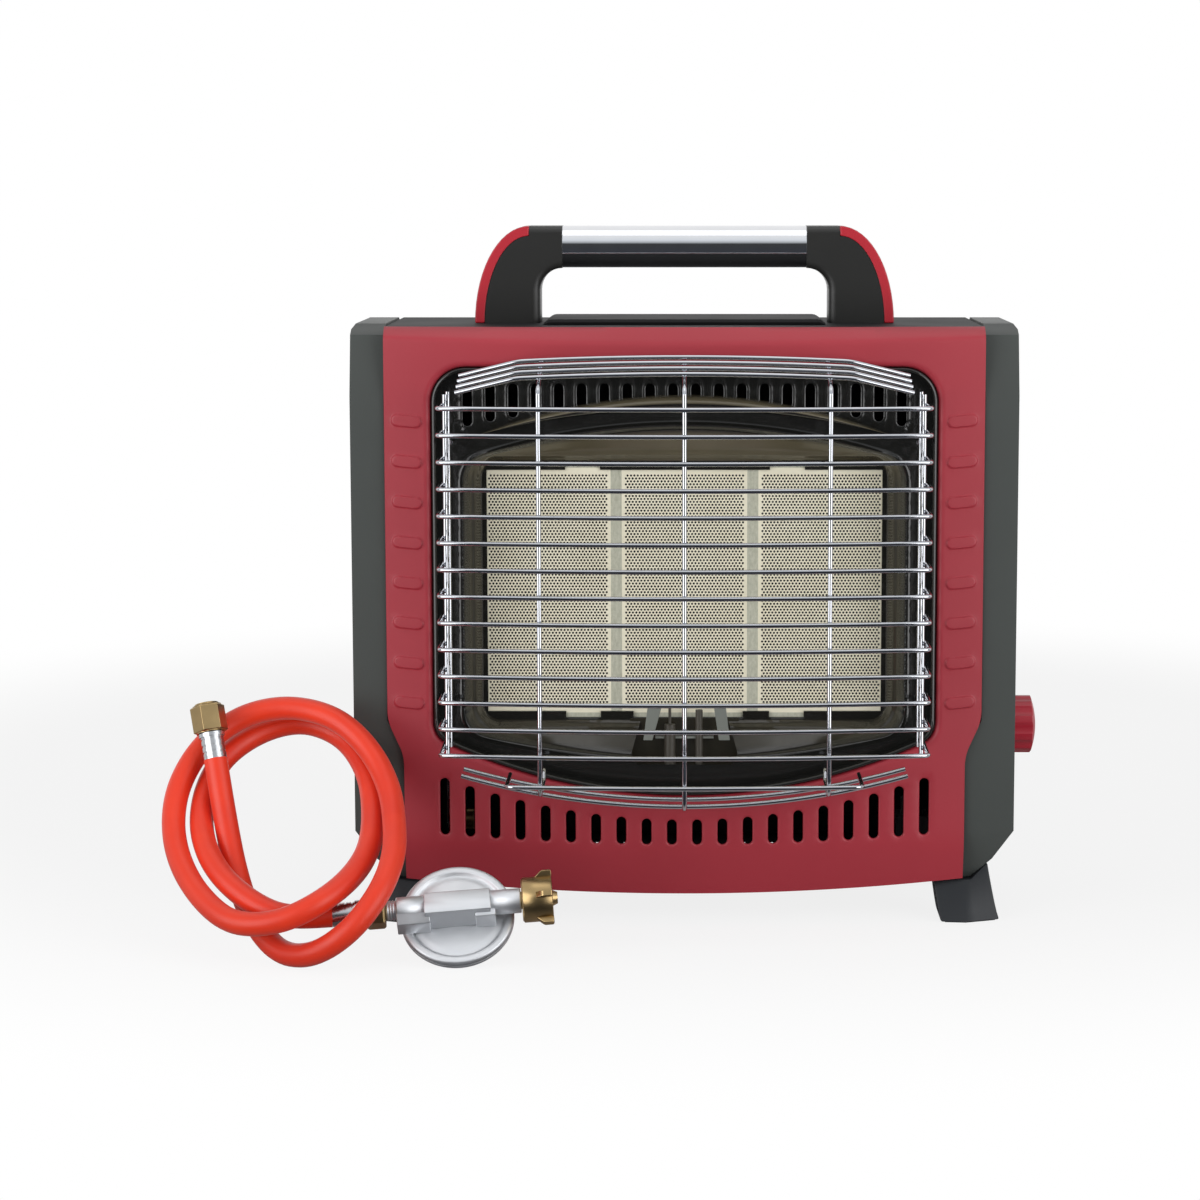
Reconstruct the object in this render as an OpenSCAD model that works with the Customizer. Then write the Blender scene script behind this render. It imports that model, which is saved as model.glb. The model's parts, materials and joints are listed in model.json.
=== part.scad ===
// Portable radiant propane heater with a carrying handle, a wire guard, and its hose and regulator.
// X runs across the heater, -Y is its front, and Z is up from the floor that its feet stand on.
// Shapes are drawn about the heater's middle plane (X = 0), its panel's face (Y = 0) and the
// floor (Z = 0), and in_frame() then moves them so that the origin is under the heater's centre.

/* [Body] */
// Width of each end cap beside the front panel
cap_w = 18.5; // [16:0.5:24]
// Depth from the front panel's face to the rear cover's back
body_d = 125; // [118:1:140]
// Height of the body's top above the floor
body_top = 325; // [320:1:335]
// Width of the front panel, between the end caps
panel_w = 322; // [316:1:328]
// How far the front panel bows forward at its middle
panel_bow = 8; // [4:0.5:10]
// Thickness of the steel sheets
sheet = 1.2; // [0.8:0.1:1.6]
// Wall of the plastic end caps
cap_wall = 2.5; // [2:0.1:3.5]
// Height of the feet, pads included
foot_h = 24; // [20:1:30]
// Thickness of the rubber foot pads
pad_t = 2; // [1:0.5:4]

/* [Window] */
// Half of the width of the window in the front panel
win_x = 136; // [130:0.5:140]
// Height of the window's top edge above the floor
win_top = 304; // [298:0.5:308]
// Height at which the window's straight sides end
win_side = 103; // [98:0.5:110]
// Height of the window's lowest point, at the middle of its bottom arc
win_low = 72; // [68:0.5:78]
// Radius of the window's top corners
win_r = 19; // [12:0.5:24]

/* [Vents] */
// Number of slots in the front panel
slot_n = 20; // [12:2:22]
// Width of a slot
slot_w = 5.2; // [4:0.1:6]
// Distance between slots
slot_pitch = 13.7; // [12.5:0.1:14]
// Height of the lower ends of the outer slots
slot_low = 50; // [46:0.5:54]

/* [Burner] */
// Width of one ceramic plaque
plaque_w = 68.5; // [64:0.5:70]
// Height of a plaque
plaque_h = 135; // [128:0.5:138]
// Thickness of a plaque
plaque_t = 13; // [11:0.5:15]
// Width of the gasket between two plaques
gasket_w = 6; // [4:0.5:8]
// Height of the burner's centre above the floor
burner_z = 180; // [176:0.5:184]
// Depth of the plaques' front behind the panel's face
plaque_y = 25; // [22:0.5:30]
// Depth of the burner box behind the plaques
plenum_d = 24; // [16:1:32]

/* [Guard] */
// Diameter of the guard's wires
wire_d = 2.5; // [2:0.1:3]
// Number of long front wires
wire_n = 14; // [12:1:15]
// Height of the top front wire
wire_top = 285; // [280:0.5:290]
// Height of the lowest long front wire
wire_low = 102; // [98:0.5:108]
// Half of the guard's width
guard_x = 130; // [126:0.5:132]
// How far the guard's side edges stand in front of the panel
guard_d = 50; // [40:1:56]
// How much further the guard's middle stands in front
guard_bow = 10; // [4:1:14]

/* [Handle] */
// Diameter of the grip tube
grip_d = 23; // [20:0.5:26]
// Length of the grip tube between the arms
grip_l = 134; // [120:1:142]
// Height of the grip's top above the body
handle_rise = 53; // [48:0.5:60]
// Thickness of the handle's arms from front to back
arm_t = 26; // [25:0.5:32]
// Distance of the handle's centre behind the panel's face
handle_y = 62; // [55:1:70]

/* [Control] */
// Diameter of the control knob
knob_d = 32; // [28:0.5:36]
// How far the knob stands out of the end cap
knob_out = 16; // [14:0.5:17]
// Height of the knob's axis above the floor
knob_z = 102; // [96:0.5:108]
// Distance of the knob's axis behind the panel's face
knob_y = 50; // [44:1:60]
// Diameter of the valve's stem
stem_d = 8; // [6:0.5:9]
// How far the knob can be pushed in
push_travel = 4; // [3:0.5:5]

/* [Gas] */
// Outer diameter of the inlet's male thread
inlet_d = 13.16; // [12:0.01:14]
// How far the inlet's thread stands out behind the rear cover
inlet_l = 12; // [10:0.5:16]
// Outer diameter of the hose
hose_d = 12.5; // [12:0.1:13]
// Diameter of the regulator's disc
disc_d = 59; // [54:1:62]
// Diameter of the cylinder nut
cyl_nut_d = 24.5; // [24:0.5:28]

/* [Fits] */
// Radial clearance of a turning shaft in its bore
run = 0.05; // [0.02:0.01:0.08]
// Gap between parts that are only placed beside each other
gap = 0.3; // [0.2:0.05:0.5]

/* [Hidden] */
$fn = 48;

// Body outline
panel_x = panel_w / 2;
cap_x = panel_x + cap_w;
bow_r = (panel_x * panel_x + panel_bow * panel_bow) / (2 * panel_bow);
bow_y = bow_r - panel_bow;
panel_bevel = 7;
panel_tuck = 8;
crease_z = foot_h + 20;
panel_low = foot_h - 7.5;
step_x = panel_x - 8.8;
step_top = foot_h + 88;
step_low = foot_h + 69;
pan_z = foot_h;
pan_h = 12;
cover_x = panel_x - gap;
cap_front = 2;
cap_back = body_d - 3;

// Where the origin lies
knob_end = cap_x + knob_out;
origin_x = (knob_end - cap_x) / 2;
guard_front = guard_d + guard_bow + wire_d / 2;
origin_y = (body_d + inlet_l - guard_front) / 2;

module in_frame() {
    translate([-origin_x, -origin_y, 0]) children();
}

// A prism standing on the XZ plane: its outline is drawn in X and Z, and it runs from y0 to y1.
module xz_prism(y0, y1) {
    translate([0, y1, 0]) rotate([90, 0, 0]) linear_extrude(y1 - y0) children();
}

// A prism whose outline is drawn in Y and Z, from x0 to x1.
module yz_prism(x0, x1) {
    translate([x0, 0, 0]) rotate([90, 0, 90]) linear_extrude(x1 - x0) children();
}

// A box between two corners
module box(a, b) {
    translate(a) cube(b - a);
}

module x_cyl(x0, x1, y, z, d) {
    translate([x0, y, z]) rotate([0, 90, 0]) cylinder(h = x1 - x0, d = d);
}

module y_cyl(y0, y1, x, z, d) {
    translate([x, y0, z]) rotate([-90, 0, 0]) cylinder(h = y1 - y0, d = d);
}

module both_sides() {
    children();
    mirror([1, 0, 0]) children();
}

// Points on a circle's arc from angle a0 to a1
function arc(cx, cy, r, a0, a1, n) =
    [for (i = [0:n]) let (a = a0 + (a1 - a0) * i / n) [cx + r * cos(a), cy + r * sin(a)]];

// The radius of an arc with this half chord and this rise
function arc_r(half, rise) = (half * half + rise * rise) / (2 * rise);

// How far the bowed panel's face lies behind its foremost line at x
function bow_at(x) = bow_y - sqrt(bow_r * bow_r - x * x);

// The window's outline, moved inwards by inset
module window(inset) {
    half = win_x - inset;
    low_r = arc_r(win_x, win_side - win_low) - inset;
    low_c = win_low + inset + low_r;
    low_a = asin(half / low_r);
    top_r = max(win_r - inset, 1);
    polygon(concat(
        arc(half - top_r, win_top - inset - top_r, top_r, 0, 90, 8),
        arc(top_r - half, win_top - inset - top_r, top_r, 90, 180, 8),
        arc(0, low_c, low_r, 270 - low_a, 270 + low_a, 32)
    ));
}

// The height of the panel's slots at their top, which follow the window's bottom arc
function slot_top(x) = win_low - 13 + (win_side - win_low - 7) * pow(x / win_x, 2);
function slot_bottom(x) = slot_low - 5 + 5 * pow(x / win_x, 2);

// ---- Casing ----

// The front sheet as a band turned about the bow's far axis: tucked in at its foot, bevelled at its top
module bowed_sheet() {
    top = body_top - panel_bevel;
    translate([0, bow_y, 0]) rotate_extrude($fn = 256) polygon([
        [bow_r - panel_tuck, panel_low - 1], [bow_r, crease_z],
        [bow_r, top], [bow_r - panel_bevel, body_top],
        [bow_r - panel_bevel - sheet, body_top], [bow_r - sheet, top - sheet / 2],
        [bow_r - sheet, crease_z], [bow_r - panel_tuck - sheet, panel_low - 1]
    ]);
}

module panel_outline() {
    rise = foot_h - panel_low;
    r = arc_r(step_x, rise);
    a = asin(step_x / r);
    polygon(concat(
        [[panel_x, body_top], [-panel_x, body_top], [-panel_x, step_top], [-step_x, step_low]],
        arc(0, panel_low + r, r, 270 - a, 270 + a, 24),
        [[step_x, step_low], [panel_x, step_top]]
    ));
}

module front_panel() {
    in_frame() color([0.55, 0.09, 0.14]) {
        difference() {
            intersection() {
                bowed_sheet();
                xz_prism(-panel_bow - 1, 2 * panel_bevel + 10) panel_outline();
            }
            xz_prism(-panel_bow - 5, 10) window(0);
            panel_slots();
        }
        both_sides() for (i = [0:7]) {
            translate([panel_x - 12, 0, body_top - 50 - 21.8 * i])
                rotate([0, -5, 0]) pill(bow_at(panel_x - 12));
        }
        both_sides() box([panel_x - sheet, sheet / 2, step_top], [panel_x, 22, body_top - 10]);
    }
}

// An upright slot's outline, with round ends
module slot(x, z0, z1, w) {
    polygon(concat(arc(x, z1 - w / 2, w / 2, 0, 180, 10), arc(x, z0 + w / 2, w / 2, 180, 360, 10)));
}

// A raised pill-shaped stamping on the panel
module pill(y) {
    xz_prism(y - 1.2, y + 1) rotate(90) slot(0, -8, 8, 6);
}

module panel_slots() {
    for (i = [0:slot_n - 1]) {
        x = (i - (slot_n - 1) / 2) * slot_pitch;
        xz_prism(-panel_bow - 5, 12) slot(x, slot_bottom(x), slot_top(x), slot_w);
    }
}

screw_d = 3;
cap_screw_x = panel_x + 9;
cap_screw_z = [125, 195, 265];
ear_y = cap_back - cap_wall - gap;

// Back wall and top wall in one bent sheet
module rear_cover() {
    in_frame() color([0.08, 0.08, 0.09]) difference() {
        union() {
            box([-cover_x, body_d - sheet, foot_h + 2], [cover_x, body_d, body_top]);
            intersection() {
                box([-cover_x, -panel_bow, body_top - sheet], [cover_x, body_d, body_top]);
                translate([0, bow_y, body_top - 5])
                    cylinder(h = 10, r = bow_r - panel_bevel - sheet - gap, $fn = 256);
            }
            both_sides() box([cover_x - sheet, body_d - 22, step_top], [cover_x, body_d, body_top]);
            both_sides() for (z = cap_screw_z) {
                box([cover_x - sheet, ear_y - sheet, z - 7], [cap_screw_x + 6, ear_y, z + 7]);
            }
        }
        both_sides() {
            for (z = cap_screw_z) {
                y_cyl(ear_y - 3, ear_y + 1, cap_screw_x, z, screw_d);
            }
            for (y = handle_screw_y) {
                translate([handle_screw_x, y, body_top - 3]) cylinder(h = 5, d = screw_d + 2 * run);
            }
        }
        for (row = [0:1], i = [-9:9]) {
            box([i * 15 - 3, body_d - 5, 150 + row * 50], [i * 15 + 3, body_d + 1, 185 + row * 50]);
        }
        for (i = [-6:6]) {
            box([i * 15 - 3, body_d - 5, 60], [i * 15 + 3, body_d + 1, 85]);
        }
        y_cyl(body_d - 5, body_d + 5, inlet_x, inlet_z, inlet_d + 3);
    }
}

// Bottom tray with upturned edges
module base_pan() {
    in_frame() color([0.08, 0.08, 0.09]) difference() {
        box([-step_x + 1, 14, pan_z], [step_x - 1, body_d - sheet - 0.1, pan_z + pan_h]);
        box([-step_x + 1 + sheet, 14 + sheet, pan_z + sheet],
            [step_x - 1 - sheet, body_d - 2 * sheet - 0.1, pan_z + pan_h + 1]);
        for (i = [-7:7]) {
            box([i * 16 - 3, 35, pan_z - 1], [i * 16 + 3, 100, pan_z + 2]);
        }
        foot_screw_places() translate([0, 0, -1]) cylinder(h = 5, d = screw_d + 2 * run);
    }
}

// The end cap seen from the front, on the right-hand side, drawn in by w
module cap_front_outline(w) {
    polygon([
        [panel_x - 20 * w, body_top + 3], [cap_x - 3.2 - w, body_top + 3],
        [cap_x - w, body_top - 1.8 - w / 2], [cap_x - w, foot_h + 27 + w / 2],
        [cap_x - 11 - w, foot_h + 10 + w / 2], [panel_x - 4 - w, foot_h - 1 + w],
        [step_x + gap - 20 * w, foot_h - 1 + w], [step_x + gap - 20 * w, step_low],
        [panel_x + gap - 20 * w, step_top]
    ]);
}

// The end cap seen from the side, drawn in by w
module cap_side_outline(w) {
    polygon([
        [cap_front + w, foot_h + 27], [cap_front + 12 + w, foot_h - 2 - w],
        [cap_back - 12 - w, foot_h - 2 - w], [cap_back - w, foot_h + 27],
        [cap_back - w, body_top - 37], [cap_back - 7.5 - w, body_top - 4.5 - w],
        [cap_back - 20 - w, body_top + 1 - w], [cap_front + 20 + w, body_top + 1 - w],
        [cap_front + 7.5 + w, body_top - 4.5 - w], [cap_front + w, body_top - 37]
    ]);
}

module cap_shell() {
    difference() {
        intersection() {
            xz_prism(0, body_d) cap_front_outline(0);
            yz_prism(step_x - 30, cap_x + 5) cap_side_outline(0);
        }
        intersection() {
            xz_prism(0, body_d) cap_front_outline(cap_wall);
            yz_prism(step_x - 60, cap_x + 5) cap_side_outline(cap_wall);
        }
        // Room for the body, which the cap closes at its side
        box([0, -1, foot_h - 5], [step_x + gap, body_d + 5, body_top + 10]);
        xz_prism(-1, body_d + 5) polygon([
            [0, body_top + 10], [0, step_low], [step_x + gap, step_low],
            [panel_x + gap, step_top], [panel_x + gap, body_top + 10]
        ]);
        for (z = cap_screw_z) {
            y_cyl(body_d - 10, body_d, cap_screw_x, z, screw_d + 2 * run);
        }
    }
}

module left_end_cap() {
    in_frame() color([0.12, 0.12, 0.13]) mirror([1, 0, 0]) cap_shell();
}

module right_end_cap() {
    in_frame() color([0.12, 0.12, 0.13]) difference() {
        cap_shell();
        x_cyl(cap_x - cap_wall - 2, cap_x + 2, knob_y, knob_z, knob_d + 1.6);
    }
}

// Raised plate under the handle
module top_plate() {
    half = arm_foot_x - 1.5;
    in_frame() color([0.1, 0.1, 0.11]) translate([0, 0, body_top]) xz_prism(28, body_d - 25)
        polygon([[-half, 0], [half, 0], [half - 4, 3], [4 - half, 3]]);
}

// ---- Feet ----

foot_front_y = 16;
foot_back_y = body_d - 20;
foot_side = panel_x - 11;
foot_x = foot_side - 5;

// A foot on the right-hand side, seen from above, with its corner to the front
module foot_plan(grow) {
    translate([foot_side, 0]) polygon([
        [-14 - grow, -4], [4.5, -10 - grow], [23 + grow, -2],
        [18 + grow, 16 + grow], [-14 - grow, 16 + grow]
    ]);
}

// A foot, with a boss that its screw enters from the tray above
module foot(y) {
    translate([0, y, pad_t]) difference() {
        union() {
            linear_extrude(foot_h - pad_t - 1 - gap) foot_plan(0);
            translate([foot_x - 4, 0, 0]) cube([8, 12, foot_h - pad_t]);
        }
        translate([foot_x, 6, foot_h - pad_t - 14]) cylinder(h = 15, d = screw_d);
    }
}

// The four places on the tray's underside where the feet are screwed on
module foot_screw_places() {
    for (x = [-foot_x, foot_x], y = [foot_front_y + 6, foot_back_y - 6]) {
        translate([x, y, pan_z]) children();
    }
}

module front_left_foot() {
    in_frame() color([0.1, 0.1, 0.1]) mirror([1, 0, 0]) foot(foot_front_y);
}

module front_right_foot() {
    in_frame() color([0.1, 0.1, 0.1]) foot(foot_front_y);
}

module rear_foot() {
    translate([0, foot_back_y, 0]) mirror([0, 1, 0]) foot(0);
}

module rear_left_foot() {
    in_frame() color([0.1, 0.1, 0.1]) mirror([1, 0, 0]) rear_foot();
}

module rear_right_foot() {
    in_frame() color([0.1, 0.1, 0.1]) rear_foot();
}

module foot_pads() {
    in_frame() color([0.05, 0.05, 0.05]) both_sides() {
        translate([0, foot_front_y, 0]) linear_extrude(pad_t) foot_plan(-1.5);
        translate([0, foot_back_y, 0]) mirror([0, 1, 0]) linear_extrude(pad_t) foot_plan(-1.5);
    }
}

// ---- Reflector and burner ----

plate_y = 8;
lip = 2.2;
frame_y = plaque_y - sheet;
burner_x = 1.5 * plaque_w + gasket_w;
burner_half_h = plaque_h / 2;
dish_x = burner_x + 5;
dish_h = burner_half_h + 8;
pilot_gap_x = 24;

module centred_window(half_x, half_h) {
    translate([0, burner_z]) square([2 * half_x, 2 * half_h], center = true);
}

// Enamelled bowl between the window's edge and the burner
module reflector() {
    in_frame() color([0.05, 0.05, 0.05]) {
        intersection() {
            xz_prism(-panel_bow - 3, plate_y) difference() {
                window(gap);
                window(gap + lip);
            }
            translate([0, bow_y, 0]) cylinder(h = body_top, r = bow_r + 0.8, $fn = 256);
        }
        difference() {
            xz_prism(plate_y, plate_y + sheet) window(gap);
            xz_prism(plate_y - 1, plate_y + 2) centred_window(dish_x, dish_h);
            reflector_vents();
            box([-pilot_gap_x, plate_y - 1, burner_z - dish_h - 18],
                [pilot_gap_x, plate_y + 2, burner_z - dish_h + 1]);
        }
        xz_prism(plate_y + sheet, frame_y) difference() {
            centred_window(dish_x + sheet, dish_h + sheet);
            centred_window(dish_x, dish_h);
            translate([0, burner_z - dish_h]) square([2 * pilot_gap_x, 6], center = true);
        }
    }
}

module reflector_vents() {
    for (i = [0:19]) {
        x = (i - 9.5) * 12.3;
        xz_prism(plate_y - 1, plate_y + 2) slot(x, 279.5 - 17 * pow(x / 117, 2), 294.5, slot_w);
    }
}

// Arched visor over the plaques
module reflector_hood() {
    r = arc_r(dish_x - 2, 24);
    z = burner_z + dish_h + 4;
    in_frame() color([0.06, 0.06, 0.06]) intersection() {
        difference() {
            y_cyl(-4, plate_y, 0, z + 24 - r, 2 * r, $fn = 256);
            y_cyl(-5, plate_y + 1, 0, z + 24 - r, 2 * (r - sheet), $fn = 256);
        }
        box([-dish_x, -5, z], [dish_x, plate_y + 1, z + 30]);
    }
}

// Black front frame that holds the plaques
module burner_frame() {
    in_frame() color([0.07, 0.07, 0.07]) xz_prism(frame_y, plaque_y) difference() {
        centred_window(dish_x + sheet, dish_h + sheet);
        centred_window(burner_x - 1, burner_half_h - 1);
    }
}

box_x = burner_x + 3 + sheet;
box_h = burner_half_h + 3 + sheet;
box_back = plaque_y + plaque_t + plenum_d;

module burner_box() {
    in_frame() color([0.5, 0.5, 0.52]) difference() {
        xz_prism(plaque_y, box_back) centred_window(box_x, box_h);
        xz_prism(plaque_y - 1, box_back - sheet) centred_window(box_x - sheet, box_h - sheet);
        translate([tube_x, tube_y, burner_z - box_h - 1]) cylinder(h = 5, r = tube_r - sheet);
    }
}

module plaque(i) {
    in_frame() color([0.88, 0.84, 0.72]) {
        x = i * (plaque_w + gasket_w);
        box([x - plaque_w / 2, plaque_y, burner_z - plaque_h / 2],
            [x + plaque_w / 2, plaque_y + plaque_t, burner_z + plaque_h / 2]);
    }
}

module plaque_left() {
    plaque(-1);
}

module plaque_middle() {
    plaque(0);
}

module plaque_right() {
    plaque(1);
}

// Ceramic fibre round and between the plaques
module plaque_gaskets() {
    in_frame() color([0.75, 0.77, 0.7]) xz_prism(plaque_y, plaque_y + plaque_t) difference() {
        centred_window(box_x - sheet, box_h - sheet);
        for (i = [-1:1]) {
            translate([i * (plaque_w + gasket_w), 0]) centred_window(plaque_w / 2, plaque_h / 2);
        }
    }
}

// ---- Gas line ----

tube_r = 10;
tube_x = 44;
tube_y = knob_y;
tube_z = knob_z - 18;
valve_x0 = panel_x - 23;
valve_x1 = valve_x0 + 22;
tube_end = valve_x0 - 10;
gland_end = valve_x1 + 5;
knob_in = gland_end + push_travel + 1;
stem_in = valve_x0 + 12;
stem_out = knob_end - 7;
rod_d = 3;
inlet_x = valve_x0 + 4;
inlet_z = knob_z - 7;
inlet_hex = 8;

module mixing_tube() {
    box_bottom = burner_z - box_h;
    in_frame() color([0.6, 0.6, 0.62]) difference() {
        union() {
            x_cyl(tube_x - tube_r, tube_end, tube_y, tube_z, 2 * tube_r);
            translate([tube_x, tube_y, tube_z]) cylinder(h = box_bottom - tube_z, r = tube_r);
        }
        x_cyl(tube_x - tube_r + sheet, tube_end - 3, tube_y, tube_z, 2 * (tube_r - sheet));
        translate([tube_x, tube_y, tube_z]) cylinder(h = box_bottom - tube_z + 1, r = tube_r - sheet);
        x_cyl(tube_end - 4, tube_end + 1, tube_y, tube_z, 8 + 2 * run);
        box([tube_end - 16, tube_y - 20, tube_z - 4], [tube_end - 5, tube_y + 20, tube_z + 4]);
    }
}

module gas_injector() {
    in_frame() color([0.8, 0.65, 0.35]) difference() {
        union() {
            translate([tube_end, tube_y, tube_z]) rotate([0, 90, 0])
                cylinder(h = valve_x0 - tube_end, d = 15, $fn = 6);
            x_cyl(tube_end - 8, tube_end + 1, tube_y, tube_z, 8);
        }
        x_cyl(tube_end - 9, valve_x0 + 1, tube_y, tube_z, 1.2);
    }
}

module gas_valve() {
    in_frame() color([0.7, 0.7, 0.72]) difference() {
        union() {
            box([valve_x0, knob_y - 12, knob_z - 28], [valve_x1, knob_y + 12, knob_z + 12]);
            x_cyl(valve_x1 - 1, gland_end, knob_y, knob_z, stem_d + 8);
        }
        x_cyl(stem_in - push_travel - 1, gland_end + 1, knob_y, knob_z, stem_d + 2 * run);
        x_cyl(stem_in - 3 - push_travel - 1, stem_in, knob_y, knob_z, rod_d + 1);
    }
}

module valve_stem() {
    in_frame() color([0.8, 0.8, 0.8]) difference() {
        x_cyl(stem_in, stem_out, knob_y, knob_z, stem_d);
        x_cyl(stem_in - 1, stem_out - 2, knob_y, knob_z, rod_d + 2 * run);
    }
}

module valve_pushrod() {
    in_frame() color([0.8, 0.7, 0.4]) x_cyl(stem_in - 3, stem_out - 2, knob_y, knob_z, rod_d);
}

// Fluted knob with a slightly domed end and a raised pointer
module control_knob() {
    r = knob_d / 2;
    dome = arc_r(r - 1, 2.5);
    in_frame() color([0.62, 0.1, 0.2]) translate([0, knob_y, knob_z]) rotate([0, 90, 0]) difference() {
        intersection() {
            translate([0, 0, knob_in]) cylinder(h = knob_end - knob_in, r = r);
            translate([0, 0, knob_end - dome]) sphere(dome, $fn = 128);
        }
        for (i = [0:9]) {
            rotate([0, 0, 36 * i + 18]) translate([r + 5.4, 0, knob_in - 1])
                cylinder(h = knob_end, r = 6.5);
        }
        translate([0, 0, knob_in - 1]) cylinder(h = stem_out - knob_in + 1, d = stem_d + 2 * run);
    }
}

module inlet_pipe() {
    in_frame() color([0.75, 0.5, 0.35]) difference() {
        y_cyl(knob_y + 12, body_d - sheet - inlet_hex, inlet_x, inlet_z, 8);
        y_cyl(knob_y + 11, body_d, inlet_x, inlet_z, 6);
    }
}

module inlet_fitting() {
    y = body_d - sheet - inlet_hex;
    in_frame() color([0.8, 0.65, 0.35]) difference() {
        union() {
            translate([inlet_x, y, inlet_z]) rotate([-90, 0, 0]) cylinder(h = inlet_hex, d = 20, $fn = 6);
            y_cyl(y + 1, body_d + 1.5, inlet_x, inlet_z, inlet_d - 2);
            y_cyl(body_d + 1, body_d + inlet_l, inlet_x, inlet_z, inlet_d);
        }
        y_cyl(y - 1, body_d + inlet_l + 1, inlet_x, inlet_z, 6);
    }
}

// Piezo unit that makes the spark, standing in the base pan
module igniter() {
    x = valve_x0 - 20;
    in_frame() color([0.15, 0.15, 0.16]) {
        box([x, knob_y - 10, pan_z + sheet], [x + 18, knob_y + 12, pan_z + sheet + 26]);
        translate([x + 9, knob_y + 1, pan_z + sheet + 25]) cylinder(h = 10, d = 12);
    }
}

pilot_z = burner_z - dish_h - 5;

module pilot_bracket() {
    in_frame() color([0.75, 0.75, 0.76]) difference() {
        union() {
            box([-20, plate_y + 2, pilot_z], [20, frame_y, pilot_z + sheet]);
            both_sides() box([20 - sheet, plate_y + 2, pilot_z], [20, frame_y, pilot_z + 20]);
        }
        translate([-8, 16, pilot_z - 1]) cylinder(h = 5, r = 3 + run);
        translate([8, 16, pilot_z - 1]) cylinder(h = 5, r = 2 + run);
    }
}

module spark_electrode() {
    in_frame() color([0.9, 0.9, 0.86]) translate([-8, 16, 0]) {
        translate([0, 0, pilot_z - 16]) cylinder(h = 24, r = 3);
        translate([0, 0, pilot_z + 7]) cylinder(h = 12, r = 0.8);
    }
}

module thermocouple() {
    in_frame() color([0.7, 0.6, 0.45]) translate([8, 16, pilot_z - 20]) cylinder(h = 36, r = 2);
}

// ---- Tilt switch ----

tilt_x = -125;
tilt_y = 70;
tilt_z = pan_z + 46;

module tilt_bracket() {
    in_frame() color([0.7, 0.7, 0.72]) {
        box([tilt_x - 9, tilt_y - 14, pan_z + sheet], [tilt_x + 9, tilt_y + 14, pan_z + 2 * sheet]);
        translate([tilt_x, 0, 0]) both_sides()
            box([8, tilt_y - 6, pan_z + sheet], [9, tilt_y + 6, tilt_z + 6]);
        x_cyl(tilt_x - 9, tilt_x + 9, tilt_y, tilt_z, 3);
    }
}

module tilt_pendulum() {
    in_frame() color([0.8, 0.65, 0.35]) difference() {
        union() {
            x_cyl(tilt_x - 5, tilt_x + 5, tilt_y, tilt_z, 8);
            translate([tilt_x, tilt_y, tilt_z - 24]) cylinder(h = 22, d = 3);
            x_cyl(tilt_x - 6, tilt_x + 6, tilt_y, tilt_z - 26, 12);
        }
        x_cyl(tilt_x - 7, tilt_x + 7, tilt_y, tilt_z, 3 + 2 * run);
    }
}

// ---- Wire guard ----

guard_r = arc_r(guard_x, guard_bow);
upright_x = 76;
low_wire_x = 95;
wire_pitch = (wire_top - wire_low) / (wire_n - 1);
weld = 0.1;
return_y = -14;
return_rise = 11;
return_z = wire_top + 10;

// Y of the front wires' centre line at x
function front_y(x) = -guard_d - guard_bow + guard_r - sqrt(guard_r * guard_r - x * x);

// A straight wire between two points
module segment(a, b) {
    v = b - a;
    translate(a) rotate([0, acos(v[2] / norm(v)), atan2(v[1], v[0])]) cylinder(h = norm(v), d = wire_d);
}

// A bent wire through points, very slightly thicker at its bends
module bent_wire(points) {
    for (i = [0:len(points) - 2]) {
        segment(points[i], points[i + 1]);
    }
    for (i = [1:len(points) - 2]) {
        translate(points[i]) sphere(d = wire_d + 0.06, $fn = 24);
    }
}

// A wire that bows forward, of half length half, at height z
module bowed_wire(z, half) {
    intersection() {
        translate([0, guard_r - guard_d - guard_bow, z])
            rotate_extrude($fn = 256) translate([guard_r, 0]) circle(d = wire_d, $fn = 24);
        box([-half, -guard_d - guard_bow - 5, z - 5], [half, 0, z + 5]);
    }
}

module guard_front_wires() {
    in_frame() color([0.85, 0.85, 0.87]) {
        for (i = [0:wire_n - 1]) {
            bowed_wire(wire_top - i * wire_pitch, guard_x);
        }
        bowed_wire(wire_low - 16, low_wire_x);
    }
}

// The wires' ends, which turn back beside the window
module guard_side_returns() {
    x = low_wire_x - wire_d / 2;
    in_frame() color([0.85, 0.85, 0.87]) both_sides() {
        for (i = [0:wire_n - 1]) {
            y_cyl(wire_d / 2 - guard_d - weld, -4, guard_x - wire_d / 2, wire_top - i * wire_pitch, wire_d);
        }
        y_cyl(front_y(x) + wire_d / 2 - weld, 2 - 0.4 * guard_d, x, wire_low - 16, wire_d);
    }
}

// Upright wires behind the front wires
module guard_uprights() {
    in_frame() color([0.85, 0.85, 0.87]) for (i = [-1:1]) {
        x = i * upright_x;
        y = front_y(x) + wire_d - weld;
        low = i == 0 ? wire_low - 28 : wire_low - 21;
        segment([x, y, low], [x, y, return_z + 1]);
    }
}

// The uprights' ends, which run back over and under the cage to the window's edge
module guard_upright_returns() {
    in_frame() color([0.85, 0.85, 0.87]) for (i = [-1:1]) {
        x = i * upright_x;
        y = front_y(x) + 1.5 * wire_d;
        low = i == 0 ? wire_low - 27 : wire_low - 20;
        low_in = i == 0 ? win_low + 5 : win_low + 14.5;
        bent_wire([
            [x, y, return_z], [x, return_y, return_z + return_rise],
            [x, -11, win_top - 5.5], [x, plate_y, win_top - 5.5]
        ]);
        bent_wire([[x, y, low], [x, return_y, low], [x, -9, low_in], [x, plate_y, low_in]]);
    }
}

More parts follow.
